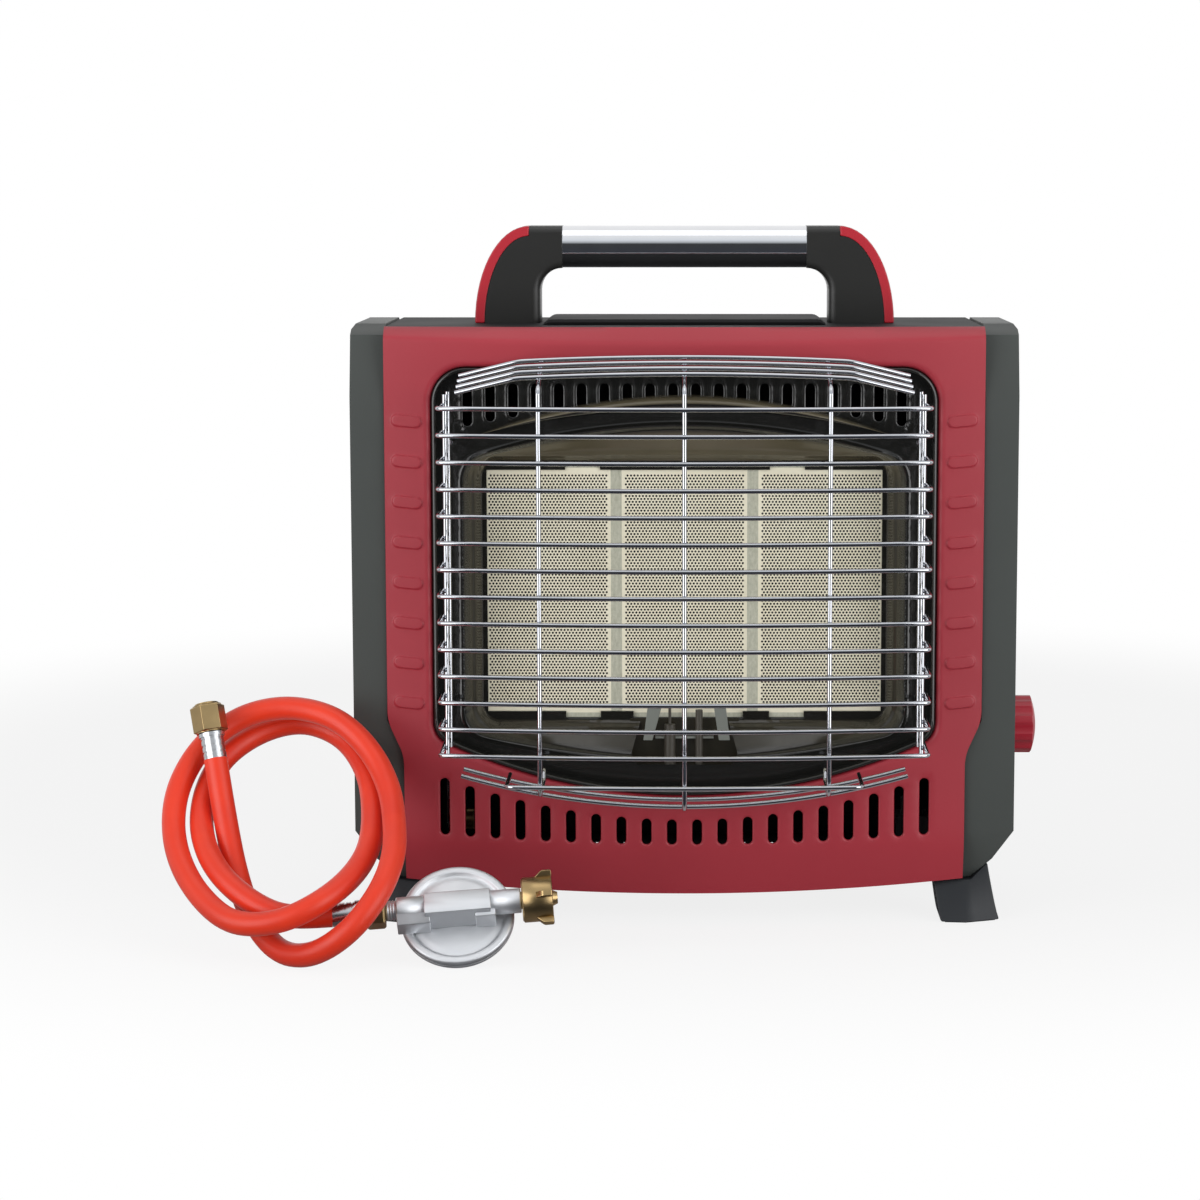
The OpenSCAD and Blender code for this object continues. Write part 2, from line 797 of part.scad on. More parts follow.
// Wires across the cage's top, which lie on the uprights' ends
module guard_top_wires() {
    in_frame() color([0.85, 0.85, 0.87]) for (i = [0:3]) {
        y = return_y - (guard_d - 20) / 3 * i;
        z = return_z + return_rise * (y + guard_d + guard_bow) / (guard_d + guard_bow + return_y) + wire_d;
        bent_wire([[-120, y + 7, z - 9], [-88, y, z], [88, y, z], [120, y + 7, z - 9]]);
    }
}

// Wires across the cage's underside, curved like the window's lower edge
module guard_bottom_wires() {
    r = 430;
    z = wire_low - 27 - wire_d + weld;
    in_frame() color([0.85, 0.85, 0.87]) for (y = [-0.8 * guard_d, -0.4 * guard_d]) {
        translate([0, y, z + r]) rotate([90, 0, 0]) rotate([0, 0, 254])
            rotate_extrude(angle = 32, $fn = 256) translate([r, 0]) circle(d = wire_d, $fn = 24);
    }
}

// Upright wires at the cage's sides, with the hooks that hold it in the window
module guard_side_wires() {
    x = guard_x - 1.5 * wire_d + weld;
    in_frame() color([0.85, 0.85, 0.87]) both_sides() {
        for (y = [-28, -6]) {
            segment([x, y, wire_low - 3], [x, y, wire_top + 6]);
        }
        for (z = [wire_low + 1.5 * wire_pitch, wire_top - 1.5 * wire_pitch]) {
            y_cyl(-6, plate_y, x - wire_d / 2, z, wire_d);
        }
    }
}

// ---- Handle ----

handle_top = body_top + handle_rise;
grip_r = grip_d / 2;
grip_z = handle_top - grip_r;
grip_wall = 1.5;
arm_x = grip_l / 2;
arm_foot_x = arm_x + 12;
arm_top_x = arm_x + 18;
arm_out = 30;
trim_t = 5.5;
handle_screw_x = arm_foot_x + 10;
handle_screw_y = [handle_y - 6, handle_y + 6];

module handle_tube() {
    in_frame() color([0.85, 0.85, 0.87]) difference() {
        x_cyl(-arm_x, arm_x, handle_y, grip_z, grip_d);
        x_cyl(-arm_x - 1, arm_x + 1, handle_y, grip_z, grip_d - 2 * grip_wall);
    }
}

// Quarter ellipse that both the arm and its trim follow
function arm_curve(inset) =
    [for (a = [0:6:90]) [arm_top_x + (arm_out - inset) * sin(a),
                         body_top + (handle_rise - inset) * cos(a)]];

module arm_outline() {
    polygon(concat(
        [[arm_x, handle_top], [arm_top_x, handle_top]],
        arm_curve(trim_t + 0.01),
        [[arm_foot_x, body_top]],
        arc(arm_x, grip_z - grip_r - 12, 12, 0, 90, 8)
    ));
}

// An arm of the handle, with a spigot that fills the end of the grip tube
module handle_arm() {
    difference() {
        xz_prism(handle_y - arm_t / 2, handle_y + arm_t / 2) arm_outline();
        for (y = handle_screw_y) {
            translate([handle_screw_x, y, body_top - 1]) cylinder(h = 15, d = screw_d + 2 * run);
        }
    }
    x_cyl(arm_x - 15, arm_x + 1, handle_y, grip_z, grip_d - 2 * grip_wall - 2 * run);
}

module handle_arm_right() {
    in_frame() color([0.1, 0.1, 0.11]) handle_arm();
}

module handle_arm_left() {
    in_frame() color([0.1, 0.1, 0.11]) mirror([1, 0, 0]) handle_arm();
}

// Red strip along the arm's outer edge
module handle_trim() {
    xz_prism(handle_y - arm_t / 2, handle_y + arm_t / 2) polygon(concat(
        arm_curve(0), [for (i = [15:-1:0]) arm_curve(trim_t)[i]]
    ));
}

module handle_trim_right() {
    in_frame() color([0.65, 0.15, 0.22]) handle_trim();
}

module handle_trim_left() {
    in_frame() color([0.65, 0.15, 0.22]) mirror([1, 0, 0]) handle_trim();
}

// A pan-head screw that points down from its head's seat
module screw(l) {
    cylinder(h = 2, d1 = 6, d2 = 4);
    translate([0, 0, -l]) cylinder(h = l + 1, d = screw_d);
}

module handle_screws() {
    in_frame() color([0.7, 0.7, 0.72]) both_sides() for (y = handle_screw_y) {
        translate([handle_screw_x, y, body_top - sheet]) mirror([0, 0, 1]) screw(12);
    }
}

// Screws that hold the end caps to the rear cover's ears and the feet to the tray
module body_screws() {
    in_frame() color([0.3, 0.3, 0.31]) {
        both_sides() for (z = cap_screw_z) {
            translate([cap_screw_x, cap_back, z]) rotate([-90, 0, 0]) screw(8);
        }
        foot_screw_places() translate([0, 0, sheet]) screw(11);
    }
}

// ---- Hose, regulator and fittings, laid down in front of the heater's left side ----

reg_lean = 45;
reg_roll = 5.3;
reg_rim = 14;
reg_x = -118;
reg_y = -91;
reg_z = disc_d / 2 * cos(reg_lean) + reg_rim * sin(reg_lean) + 0.05;
ferrule_d = 12.3;
ferrule_l = 14;
reg_tail = 50;

// Moves a shape from the regulator's own axes, where its gas tube lies along X
module at_regulator() {
    in_frame() translate([reg_x, reg_y, reg_z]) rotate([-reg_lean, 0, 0]) rotate([0, -reg_roll, 0])
        children();
}

// The point at x on the regulator's tube axis
function on_tube(x) = [
    reg_x + x * cos(reg_roll),
    reg_y + x * sin(reg_roll) * sin(reg_lean),
    reg_z + x * sin(reg_roll) * cos(reg_lean)
];

// The hose's route: two loops from the regulator, ending upright at the free nut
hose_end = [-249, -38, 98];
route = [
    on_tube(-reg_tail - ferrule_l), [-208, -97, 27], [-230, -87, 36], [-246, -71, 48],
    [-255, -51, 62], [-256, -30, 78], [-248, -11, 94], [-229, 2, 106],
    [-206, 5.7, 110], [-184, -1.9, 102], [-170, -23, 87], [-165, -46, 71],
    [-165, -68, 57], [-172, -89, 46], [-187, -107, 36], [-208, -111, 27],
    [-231, -104, 25], [-249, -88, 33], [-263, -69, 47], [-270, -51, 64],
    [-269, -34, 83], [-258, -20, 102], [-238, -11, 116], [-213, -10, 121],
    [-188, -16, 116], [-169, -28, 102], [-157, -45, 85], [-152, -65, 69],
    [-151, -86, 55], [-157, -105, 40], [-171, -114, 23], [-190, -110, 10],
    [-209, -96, 8], [-225, -79, 21], [-235, -63, 40], [-242, -50, 64], hose_end
];
route_last = len(route) - 1;
hose_sides = 12;

// A point between b and c on the smooth curve through a, b, c and d
function smooth(a, b, c, d, t) =
    b + 0.5 * t * (c - a + t * (2 * a - 5 * b + 4 * c - d + t * (3 * b - a - 3 * c + d)));

hose_path = concat([
    for (i = [0:route_last - 1], t = [0, 0.5])
        smooth(route[max(i - 1, 0)], route[i], route[i + 1], route[min(i + 2, route_last)], t)
], [hose_end]);
hose_last = len(hose_path) - 1;

function unit(v) = v / norm(v);
function hose_dir(i) = unit(hose_path[min(i + 1, hose_last)] - hose_path[max(i - 1, 0)]);
function square_to(u, t) = unit(u - (u * t) * t);

// The first axis of each ring, turned as little as possible from ring to ring
function ring_axes(i, u) =
    i > hose_last ? [] : let (v = square_to(u, hose_dir(i))) concat([v], ring_axes(i + 1, v));

module hose() {
    axes = ring_axes(0, [0, 0, 1]);
    n = hose_sides;
    points = [
        for (i = [0:hose_last], k = [0:n - 1])
            hose_path[i] + hose_d / 2 * (
                cos(360 * k / n) * axes[i] + sin(360 * k / n) * cross(hose_dir(i), axes[i])
            )
    ];
    sides = [
        for (i = [0:hose_last - 1], k = [0:n - 1])
            [i * n + k, i * n + (k + 1) % n, (i + 1) * n + (k + 1) % n, (i + 1) * n + k]
    ];
    ends = [[for (k = [n - 1:-1:0]) k], [for (k = [0:n - 1]) hose_last * n + k]];
    in_frame() color([0.93, 0.28, 0.12]) polyhedron(points, concat(sides, ends));
}

// Moves a shape from the Z axis to the hose's free end
module at_free_end() {
    v = hose_dir(hose_last);
    in_frame() translate(hose_end) rotate([0, acos(v[2]), atan2(v[1], v[0])]) children();
}

// A crimped sleeve on a hose's end
module ferrule() {
    difference() {
        union() {
            cylinder(h = ferrule_l, d = ferrule_d);
            translate([0, 0, ferrule_l - 2]) cylinder(h = 2, d = ferrule_d + 1.4);
        }
        for (z = [3, 6.5, 10]) {
            translate([0, 0, z]) difference() {
                cylinder(h = 1, d = ferrule_d + 3);
                translate([0, 0, -1]) cylinder(h = 3, d = ferrule_d - 0.8);
            }
        }
        translate([0, 0, -1]) cylinder(h = ferrule_l + 2, d = tail_bore);
    }
}

tail_d = 7;
tail_bore = 4;
nut_af = 16;
nut_l = 15;
nut_floor = 4;
nut_relief = 4.5;
nut_bore = inlet_d - 1.7;

module free_ferrule() {
    color([0.72, 0.7, 0.68]) at_free_end() ferrule();
}

// The tube that the free nut turns on, with a flared seat inside the nut
module free_tail() {
    color([0.8, 0.65, 0.35]) at_free_end() translate([0, 0, ferrule_l]) difference() {
        union() {
            cylinder(h = nut_floor + gap + 1, d = tail_d);
            translate([0, 0, nut_floor + 2 * gap]) cylinder(h = 3, d1 = tail_d + 3, d2 = tail_d);
        }
        translate([0, 0, -1]) cylinder(h = 12, d = tail_bore);
    }
}

module free_nut() {
    color([0.8, 0.65, 0.35]) at_free_end() translate([0, 0, ferrule_l + gap]) difference() {
        intersection() {
            cylinder(h = nut_l, d = nut_af / cos(30), $fn = 6);
            cylinder(h = nut_l, d1 = nut_af + 0.6, d2 = nut_af + 4);
            cylinder(h = nut_l, d1 = nut_af + 4, d2 = nut_af + 0.6);
        }
        translate([0, 0, -1]) cylinder(h = nut_floor + 2, d = tail_d + 2 * run);
        translate([0, 0, nut_floor]) cylinder(h = nut_relief, d = nut_bore + 1.4);
        translate([0, 0, nut_floor]) cylinder(h = nut_l, d = nut_bore);
    }
}

module regulator_ferrule() {
    color([0.72, 0.7, 0.68]) at_regulator() translate([-reg_tail - ferrule_l, 0, 0])
        rotate([0, 90, 0]) ferrule();
}

module regulator_nut() {
    color([0.8, 0.65, 0.35]) at_regulator() difference() {
        union() {
            x_cyl(-reg_tail, -46, 0, 0, 9);
            translate([-46.5, 0, 0]) rotate([0, 90, 0]) cylinder(h = 12, d = nut_af / cos(30), $fn = 6);
            x_cyl(-35, -31, 0, 0, nut_af + 1);
        }
        x_cyl(-reg_tail - 1, -30, 0, 0, tail_bore);
    }
}

disc_y = 9;

module regulator_body() {
    color([0.72, 0.73, 0.75]) at_regulator() difference() {
        union() {
            x_cyl(-31, 33.5, 0, 0, 12);
            box([-16, -7.5, -7.5], [17.5, disc_y + 1, 7.5]);
            y_cyl(disc_y, disc_y + 2.2, 0, 0, disc_d);
        }
        x_cyl(-32, -5, 0, 0, tail_bore);
        x_cyl(5, 34, 0, 0, tail_bore);
    }
}

module regulator_diaphragm() {
    color([0.1, 0.1, 0.1]) at_regulator() y_cyl(disc_y + 2.2, disc_y + 2.8, 0, 0, disc_d - 2);
}

// Rear half of the regulator's case, with the dome over its spring
module regulator_cover() {
    color([0.7, 0.71, 0.73]) at_regulator() difference() {
        union() {
            y_cyl(disc_y + 2.8, reg_rim, 0, 0, disc_d);
            translate([0, reg_rim - 0.5, 0]) rotate([-90, 0, 0])
                cylinder(h = 6, d1 = disc_d - 13, d2 = disc_d - 25);
            y_cyl(reg_rim + 5, reg_rim + 8, 0, 0, 14);
        }
        y_cyl(disc_y, reg_rim, 0, 0, disc_d - 19);
    }
}

stem_seat_d = 9;

// The spigot that enters the gas cylinder's valve
module cylinder_stem() {
    color([0.82, 0.66, 0.36]) at_regulator() difference() {
        union() {
            x_cyl(33.5, 49, 0, 0, stem_seat_d);
            translate([49, 0, 0]) rotate([0, 90, 0]) cylinder(h = 3.5, d1 = stem_seat_d, d2 = 6);
        }
        x_cyl(33, 53, 0, 0, tail_bore);
    }
}

// Round nut with five lugs for the hand
module cylinder_nut() {
    color([0.8, 0.65, 0.35]) at_regulator() difference() {
        union() {
            x_cyl(33.5 + gap, 50, 0, 0, cyl_nut_d);
            for (i = [0:4]) {
                rotate([72 * i, 0, 0]) translate([0, 0, -cyl_nut_d / 2]) yz_prism(40, 49)
                    polygon([[-4.5, 2], [4.5, 2], [2.5, -3], [-2.5, -3]]);
            }
        }
        x_cyl(33, 43, 0, 0, stem_seat_d + 2 * run);
        x_cyl(42, 51, 0, 0, cyl_nut_d - 8);
    }
}

front_panel();
rear_cover();
base_pan();
left_end_cap();
right_end_cap();
top_plate();
front_left_foot();
front_right_foot();
rear_left_foot();
rear_right_foot();
foot_pads();
reflector();
reflector_hood();
burner_box();
burner_frame();
plaque_left();
plaque_middle();
plaque_right();
plaque_gaskets();
mixing_tube();
gas_injector();
gas_valve();
valve_stem();
valve_pushrod();
control_knob();
inlet_pipe();
inlet_fitting();
igniter();
spark_electrode();
thermocouple();
pilot_bracket();
tilt_bracket();
tilt_pendulum();
guard_front_wires();
guard_side_returns();
guard_uprights();
guard_upright_returns();
guard_top_wires();
guard_bottom_wires();
guard_side_wires();
handle_tube();
handle_arm_left();
handle_arm_right();
handle_trim_left();
handle_trim_right();
body_screws();
handle_screws();
hose();
free_ferrule();
free_tail();
free_nut();
regulator_ferrule();
regulator_nut();
regulator_body();
regulator_cover();
regulator_diaphragm();
cylinder_stem();
cylinder_nut();
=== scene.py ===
"""Looks of the portable propane heater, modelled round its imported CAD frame."""
import json
from math import asin, ceil, cos, degrees, exp, hypot, pi, radians, sin, sqrt, tan

import bmesh
import bpy
import numpy as np
from mathutils import Matrix, Vector
from mathutils.geometry import delaunay_2d_cdt
from mathutils.kdtree import KDTree

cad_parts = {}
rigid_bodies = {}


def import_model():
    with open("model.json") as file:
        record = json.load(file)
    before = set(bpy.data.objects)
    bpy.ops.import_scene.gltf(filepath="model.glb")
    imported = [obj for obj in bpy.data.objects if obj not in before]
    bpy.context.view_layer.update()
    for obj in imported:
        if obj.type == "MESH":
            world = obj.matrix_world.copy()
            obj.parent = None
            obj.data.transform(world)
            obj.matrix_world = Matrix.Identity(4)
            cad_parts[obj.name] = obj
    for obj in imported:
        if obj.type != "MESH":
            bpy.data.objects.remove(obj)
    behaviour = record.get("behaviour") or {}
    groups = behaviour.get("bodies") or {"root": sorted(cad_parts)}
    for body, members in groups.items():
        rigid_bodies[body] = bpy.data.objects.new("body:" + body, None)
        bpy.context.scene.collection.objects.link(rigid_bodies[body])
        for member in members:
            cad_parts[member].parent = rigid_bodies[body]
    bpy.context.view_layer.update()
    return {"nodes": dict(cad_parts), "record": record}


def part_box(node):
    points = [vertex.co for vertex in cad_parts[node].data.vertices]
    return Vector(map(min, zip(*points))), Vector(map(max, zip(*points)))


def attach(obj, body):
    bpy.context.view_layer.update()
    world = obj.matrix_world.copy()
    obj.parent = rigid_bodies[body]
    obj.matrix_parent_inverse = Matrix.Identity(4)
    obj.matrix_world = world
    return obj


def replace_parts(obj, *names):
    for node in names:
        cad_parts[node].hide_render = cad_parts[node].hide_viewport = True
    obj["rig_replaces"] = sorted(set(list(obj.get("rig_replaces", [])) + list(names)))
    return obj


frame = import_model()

# ---- Places: heater coordinates in millimetres, as in the part's source ----

MM = 0.001
PANEL_BOW = 8
_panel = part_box("front_panel")
MIDDLE_X = (_panel[0].x + _panel[1].x) / 2
FACE_Y = _panel[0].y + PANEL_BOW * MM


def at(x, y, z):
    """A point in metres from x across, y back from the panel's face and z up, in millimetres."""
    return Vector((MIDDLE_X + x * MM, FACE_Y + y * MM, z * MM))


def node_box(name):
    """A CAD node's corners in heater millimetres."""
    low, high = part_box(name)
    return [((p.x - MIDDLE_X) / MM, (p.y - FACE_Y) / MM, p.z / MM) for p in (low, high)]


def arc_radius(half, rise):
    """Radius of an arc that rises by rise over half its chord."""
    return (half * half + rise * rise) / (2 * rise)


PANEL_X = 161
BOW_R = arc_radius(PANEL_X, PANEL_BOW)


def bow(x):
    """Y of the bowed panel's face at x."""
    return BOW_R - PANEL_BOW - sqrt(BOW_R * BOW_R - x * x)


# ---- Camera: the photograph's viewpoint, before the heater's middle and a little above it ----

CAMERA_FROM = at(0, -1700, 402)
CAMERA_PITCH = radians(7.5)
CAMERA_LENS = 95.34
CAMERA_SHIFT = -0.0704

camera = bpy.data.objects.new("camera", bpy.data.cameras.new("camera"))
bpy.context.collection.objects.link(camera)
camera.location = CAMERA_FROM
camera.rotation_euler = (pi / 2 - CAMERA_PITCH, 0, 0)
camera.data.lens = CAMERA_LENS
camera.data.sensor_width = 36
camera.data.shift_x = CAMERA_SHIFT
bpy.context.scene.camera = camera

# ---- Materials ----


def srgb(r, g, b):
    """A linear colour from an sRGB one of 0 to 255."""
    def one(c):
        c = c / 255
        return c / 12.92 if c <= 0.04045 else ((c + 0.055) / 1.055) ** 2.4
    return (one(r), one(g), one(b), 1)


WHITE = (1, 1, 1, 1)


class Tree:
    """A small helper round a node tree and the coordinates that it works with."""

    def __init__(self, tree, coords):
        self.tree = tree
        self.coords = self.new("ShaderNodeTexCoord").outputs[coords]

    def new(self, kind, **settings):
        node = self.tree.nodes.new(kind)
        for key, value in settings.items():
            setattr(node, key, value)
        return node

    def link(self, a, b):
        self.tree.links.new(a, b)

    def feed(self, value, socket):
        """Sets a socket to a constant, or links another node's output to it."""
        if isinstance(value, (int, float, tuple)):
            socket.default_value = value
        else:
            self.link(value, socket)

    def axis(self, name, vector=None):
        """One axis of the tree's coordinates, or of another vector."""
        node = self.new("ShaderNodeSeparateXYZ")
        self.link(self.coords if vector is None else vector, node.inputs["Vector"])
        return node.outputs[name]

    def math(self, operation, *values):
        node = self.new("ShaderNodeMath", operation=operation)
        for value, socket in zip(values, node.inputs):
            self.feed(value, socket)
        return node.outputs["Value"]

    def mapped(self, value, low, high, to_low=0.0, to_high=1.0, kind="SMOOTHSTEP"):
        """A value moved from the range low to high to the range to_low to to_high."""
        node = self.new("ShaderNodeMapRange", interpolation_type=kind)
        limits = zip(("From Min", "From Max", "To Min", "To Max"), (low, high, to_low, to_high))
        for key, limit in limits:
            node.inputs[key].default_value = limit
        self.link(value, node.inputs["Value"])
        return node.outputs["Result"]

    def noise(self, scale, detail, rough=0.5, stretch=None):
        node = self.new("ShaderNodeTexNoise")
        for key, value in (("Scale", scale), ("Detail", detail), ("Roughness", rough)):
            node.inputs[key].default_value = value
        source = self.coords
        if stretch:
            mapping = self.new("ShaderNodeMapping")
            mapping.inputs["Scale"].default_value = stretch
            self.link(source, mapping.inputs["Vector"])
            source = mapping.outputs["Vector"]
        self.link(source, node.inputs["Vector"])
        return node.outputs["Fac"]

    def ramp(self, value, stops):
        node = self.new("ShaderNodeValToRGB")
        elements = node.color_ramp.elements
        for place, _ in stops[1:-1]:
            elements.new(place)
        for element, (place, colour) in zip(elements, stops):
            element.position, element.color = place, colour
        self.link(value, node.inputs["Fac"])
        return node.outputs["Color"]

    def mix(self, factor, a, b, blend="MIX"):
        node = self.new("ShaderNodeMix", data_type="RGBA", blend_type=blend)
        for value, index in ((factor, 0), (a, 6), (b, 7)):
            self.feed(value, node.inputs[index])
        return node.outputs[2]


class Nodes(Tree):
    """The node tree of a material with one shader."""

    def __init__(self, name):
        self.material = bpy.data.materials.new(name)
        self.material.use_nodes = True
        super().__init__(self.material.node_tree, "Object")
        self.shader = self.tree.nodes["Principled BSDF"]

    def mottled(self, noise, first, second, edge=0.3):
        """A colour that wanders between two."""
        return self.ramp(noise, [(edge, first), (1 - edge, second)])

    def uneven(self, scale, detail, low, high):
        """A number that wanders between low and high."""
        return self.mapped(self.noise(scale, detail), 0, 1, low, high, "LINEAR")

    def finish(self, colour, roughness, grain=None, **values):
        """Feeds the shader; grain is a height and its depth in metres."""
        values.update(Base_Color=colour, Roughness=roughness)
        for key, value in values.items():
            self.feed(value, self.shader.inputs[key.replace("_", " ")])
        if grain:
            bump = self.new("ShaderNodeBump")
            bump.inputs["Distance"].default_value = grain[1]
            self.link(grain[0], bump.inputs["Height"])
            self.link(bump.outputs["Normal"], self.shader.inputs["Normal"])
        return self.material


def times(colour, factor):
    """A colour made darker or lighter."""
    return tuple(min(c * factor, 1) for c in colour[:3]) + (1,)


def painted(name, colour, roughness, grain=0.00004, vary=0.06, coat=0.0, specular=0.5):
    """Sprayed or enamelled metal: a faint orange peel, a little uneven in colour and gloss."""
    m = Nodes(name)
    return m.finish(m.mottled(m.noise(9, 3), times(colour, 1 - vary), times(colour, 1 + vary)),
                    m.uneven(30, 4, roughness * 0.85, roughness * 1.15), (m.noise(900, 2), grain),
                    Coat_Weight=coat, Coat_Roughness=0.06, Specular_IOR_Level=specular)


def moulded(name, colour, roughness, grain=0.00003, scale=1500, specular=0.5):
    """Moulded plastic with a fine spark-eroded grain."""
    m = Nodes(name)
    return m.finish(m.mix(m.noise(14, 3), colour, times(colour, 0.86)),
                    m.uneven(40, 3, roughness * 0.9, roughness * 1.12),
                    (m.noise(scale, 3, 0.6), grain), Specular_IOR_Level=specular)


def metal(name, colour, roughness, grain=0.00001, scale=600, tarnish=0.1):
    """Bare or plated metal with a fine grain and a little tarnish."""
    m = Nodes(name)
    return m.finish(m.mottled(m.noise(60, 4), times(colour, 1 - tarnish), colour, 0.35),
                    m.uneven(120, 3, roughness * 0.75, roughness * 1.3),
                    (m.noise(scale, 2), grain), Metallic=1.0)


def hood_material():
    """The hood's black enamel, painted olive on its upper side as a reflection of the burner's pale
    plaques.
    """
    m = Nodes("hood_enamel")
    # Painted reflection: faces that turn upwards are mixed from black towards olive.
    upper = m.mapped(m.axis("Z", m.new("ShaderNodeNewGeometry").outputs["Normal"]), -0.3, 0.35)
    plaque_reflection = m.mottled(m.noise(20, 3), srgb(88, 81, 64), srgb(104, 97, 78))
    return m.finish(m.mix(upper, srgb(22, 21, 19), plaque_reflection), m.uneven(60, 3, 0.1, 0.2),
                    Coat_Weight=0.5, Coat_Roughness=0.08)


def reflector_material():
    """The reflector's black enamel, olive inside the dish and lighter at its top: a painted
    reflection of the pale plaques.
    """
    m = Nodes("reflector_enamel")
    deep = m.mapped(m.axis("Y"), FACE_Y + 9.5 * MM, FACE_Y + 13 * MM)
    # Painted reflection: olive deeper into the dish, and lighter olive towards its top.
    high = m.mapped(m.axis("Z"), 236 * MM, 262 * MM)
    plaque_reflection = m.mottled(m.noise(20, 3), srgb(84, 78, 61), srgb(98, 91, 73))
    olive = m.mix(high, srgb(50, 47, 38), plaque_reflection)
    return m.finish(m.mix(deep, srgb(26, 26, 24), olive), m.uneven(60, 3, 0.11, 0.2),
                    (m.noise(900, 2), 0.000004), Coat_Weight=0.2, Coat_Roughness=0.08)


def hose_material():
    """Orange rubber with a soft bloom."""
    m = Nodes("hose_rubber")
    return m.finish(m.mottled(m.noise(35, 4), srgb(226, 46, 10), srgb(238, 56, 16)),
                    m.uneven(90, 3, 0.36, 0.5), (m.noise(1400, 2), 0.00002),
                    Sheen_Weight=0.15, Sheen_Roughness=0.5)


def plaque_material():
    """Pale fired ceramic, with painted shade making it near black inside the burner holes."""
    m = Nodes("plaque_ceramic")
    face = m.mottled(m.noise(25, 5), srgb(230, 224, 200), srgb(240, 235, 213))
    face_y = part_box("plaque_middle")[0].y
    # Painted shade: just below the face the colour turns near black down the holes.
    hole_shade_mask = m.mapped(m.axis("Y"), face_y + 0.02 * MM, face_y + 0.15 * MM, kind="LINEAR")
    return m.finish(m.mix(hole_shade_mask, face, srgb(22, 17, 12)), 0.85, (m.noise(2500, 3), 0.00004))


def fibre_material():
    """Pressed ceramic fibre: mottled grey-green, soft and rough."""
    m = Nodes("gasket_fibre")
    mottle = m.noise(700, 6, 0.7, (1, 1, 0.4))
    return m.finish(m.mottled(mottle, srgb(168, 169, 150), srgb(202, 202, 186)), 0.95,
                    (m.noise(1200, 5, 0.7), 0.0002), Sheen_Weight=0.2)


# Kind, name, sRGB colour, roughness and what departs from the kind's own settings
MATERIALS = {name: make(name, srgb(*colour), roughness, **more)
             for make, name, colour, roughness, more in (
    (painted, "red_enamel", (163, 46, 58), 0.42, {"grain": 0.00003}),
    (painted, "black_enamel", (27, 26, 22), 0.15, {"grain": 0.000005, "coat": 0.2}),
    (painted, "black_sheet", (32, 32, 33), 0.6, {"specular": 0.15}),
    (painted, "box_steel", (96, 95, 90), 0.5, {"vary": 0.15}),
    (painted, "pilot_steel", (126, 130, 124), 0.35, {"grain": 0.00002, "vary": 0.15}),
    (moulded, "cap_plastic", (74, 78, 76), 0.45, {"specular": 0.3}),
    (moulded, "handle_plastic", (42, 42, 41), 0.36, {"specular": 0.4}),
    (moulded, "foot_plastic", (38, 41, 45), 0.45, {"specular": 0.35}),
    (moulded, "pad_rubber", (28, 28, 29), 0.8, {"grain": 0.00006, "scale": 700}),
    (moulded, "trim_plastic", (188, 40, 54), 0.36, {"grain": 0.00001, "specular": 0.4}),
    (moulded, "knob_plastic", (176, 28, 48), 0.33, {"grain": 0.00001}),
    (moulded, "igniter_plastic", (45, 45, 48), 0.45, {}),
    (moulded, "electrode_ceramic", (70, 66, 58), 0.45, {"grain": 0.00001}),
    (metal, "cast_alloy", (190, 191, 193), 0.48, {"grain": 0.00004, "scale": 900}),
    (metal, "bright_steel", (205, 206, 208), 0.25, {}),
    (metal, "brass", (180, 154, 110), 0.3, {"scale": 900, "tarnish": 0.15}),
    (metal, "copper", (150, 104, 80), 0.4, {"tarnish": 0.3}),
    (metal, "guard_chrome", (192, 194, 199), 0.09, {"grain": 0.000001, "tarnish": 0.05}),
    (metal, "grip_chrome", (228, 229, 232), 0.1, {"grain": 0.000002, "tarnish": 0.03}),
    (metal, "regulator_alloy", (220, 222, 225), 0.5, {"scale": 2200, "tarnish": 0.06}),
)}
MATERIALS.update(
    hose_rubber=hose_material(), hood_enamel=hood_material(),
    reflector_enamel=reflector_material(), plaque_ceramic=plaque_material(),
    gasket_fibre=fibre_material())

NODE_SLOT = {s["node"]: s["material_slot"] for s in frame["record"]["subparts"]}
NODE_BODY = {node: body for body, nodes in frame["record"]["behaviour"]["bodies"].items()
             for node in nodes}

# ---- Making pieces ----


def finish_piece(piece, nodes, material=None):
    """Gives a piece the finish and body of the first of the CAD nodes that it stands for."""
    slot = NODE_SLOT[nodes[0]]
    piece.data.materials.clear()
    piece.data.materials.append(MATERIALS[material or slot])
    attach(piece, NODE_BODY[nodes[0]])
    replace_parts(piece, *nodes)
    return piece


def link_object(name, data):
    piece = bpy.data.objects.new(name, data)
    bpy.context.collection.objects.link(piece)
    return piece


def smooth_by_angle(piece, sharp):
    """Smooth shading but for edges sharper than this many degrees."""
    mesh = piece.data
    mesh.polygons.foreach_set("use_smooth", [True] * len(mesh.polygons))
    mesh.set_sharp_from_angle(angle=radians(sharp))


def as_bmesh(verts, faces):
    mesh = bpy.data.meshes.new("drawn")
    mesh.from_pydata([tuple(v) for v in verts], [], faces)
    mesh.validate()
    bm = bmesh.new()
    bm.from_mesh(mesh)
    bpy.data.meshes.remove(mesh)
    return bm


def from_bmesh(name, bm, sharp):
    mesh = bpy.data.meshes.new(name)
    bm.to_mesh(mesh)
    bm.free()
    piece = link_object(name, mesh)
    smooth_by_angle(piece, sharp)
    return piece


def mesh_object(name, verts, faces, sharp=30):
    bm = as_bmesh(verts, faces)
    bmesh.ops.remove_doubles(bm, verts=bm.verts, dist=1e-7)
    bmesh.ops.recalc_face_normals(bm, faces=bm.faces)
    return from_bmesh(name, bm, sharp)


def apply_modifiers(piece):
    bpy.context.view_layer.update()
    evaluated = piece.evaluated_get(bpy.context.evaluated_depsgraph_get())
    mesh = bpy.data.meshes.new_from_object(evaluated)
    piece.modifiers.clear()
    piece.data = mesh
    return piece


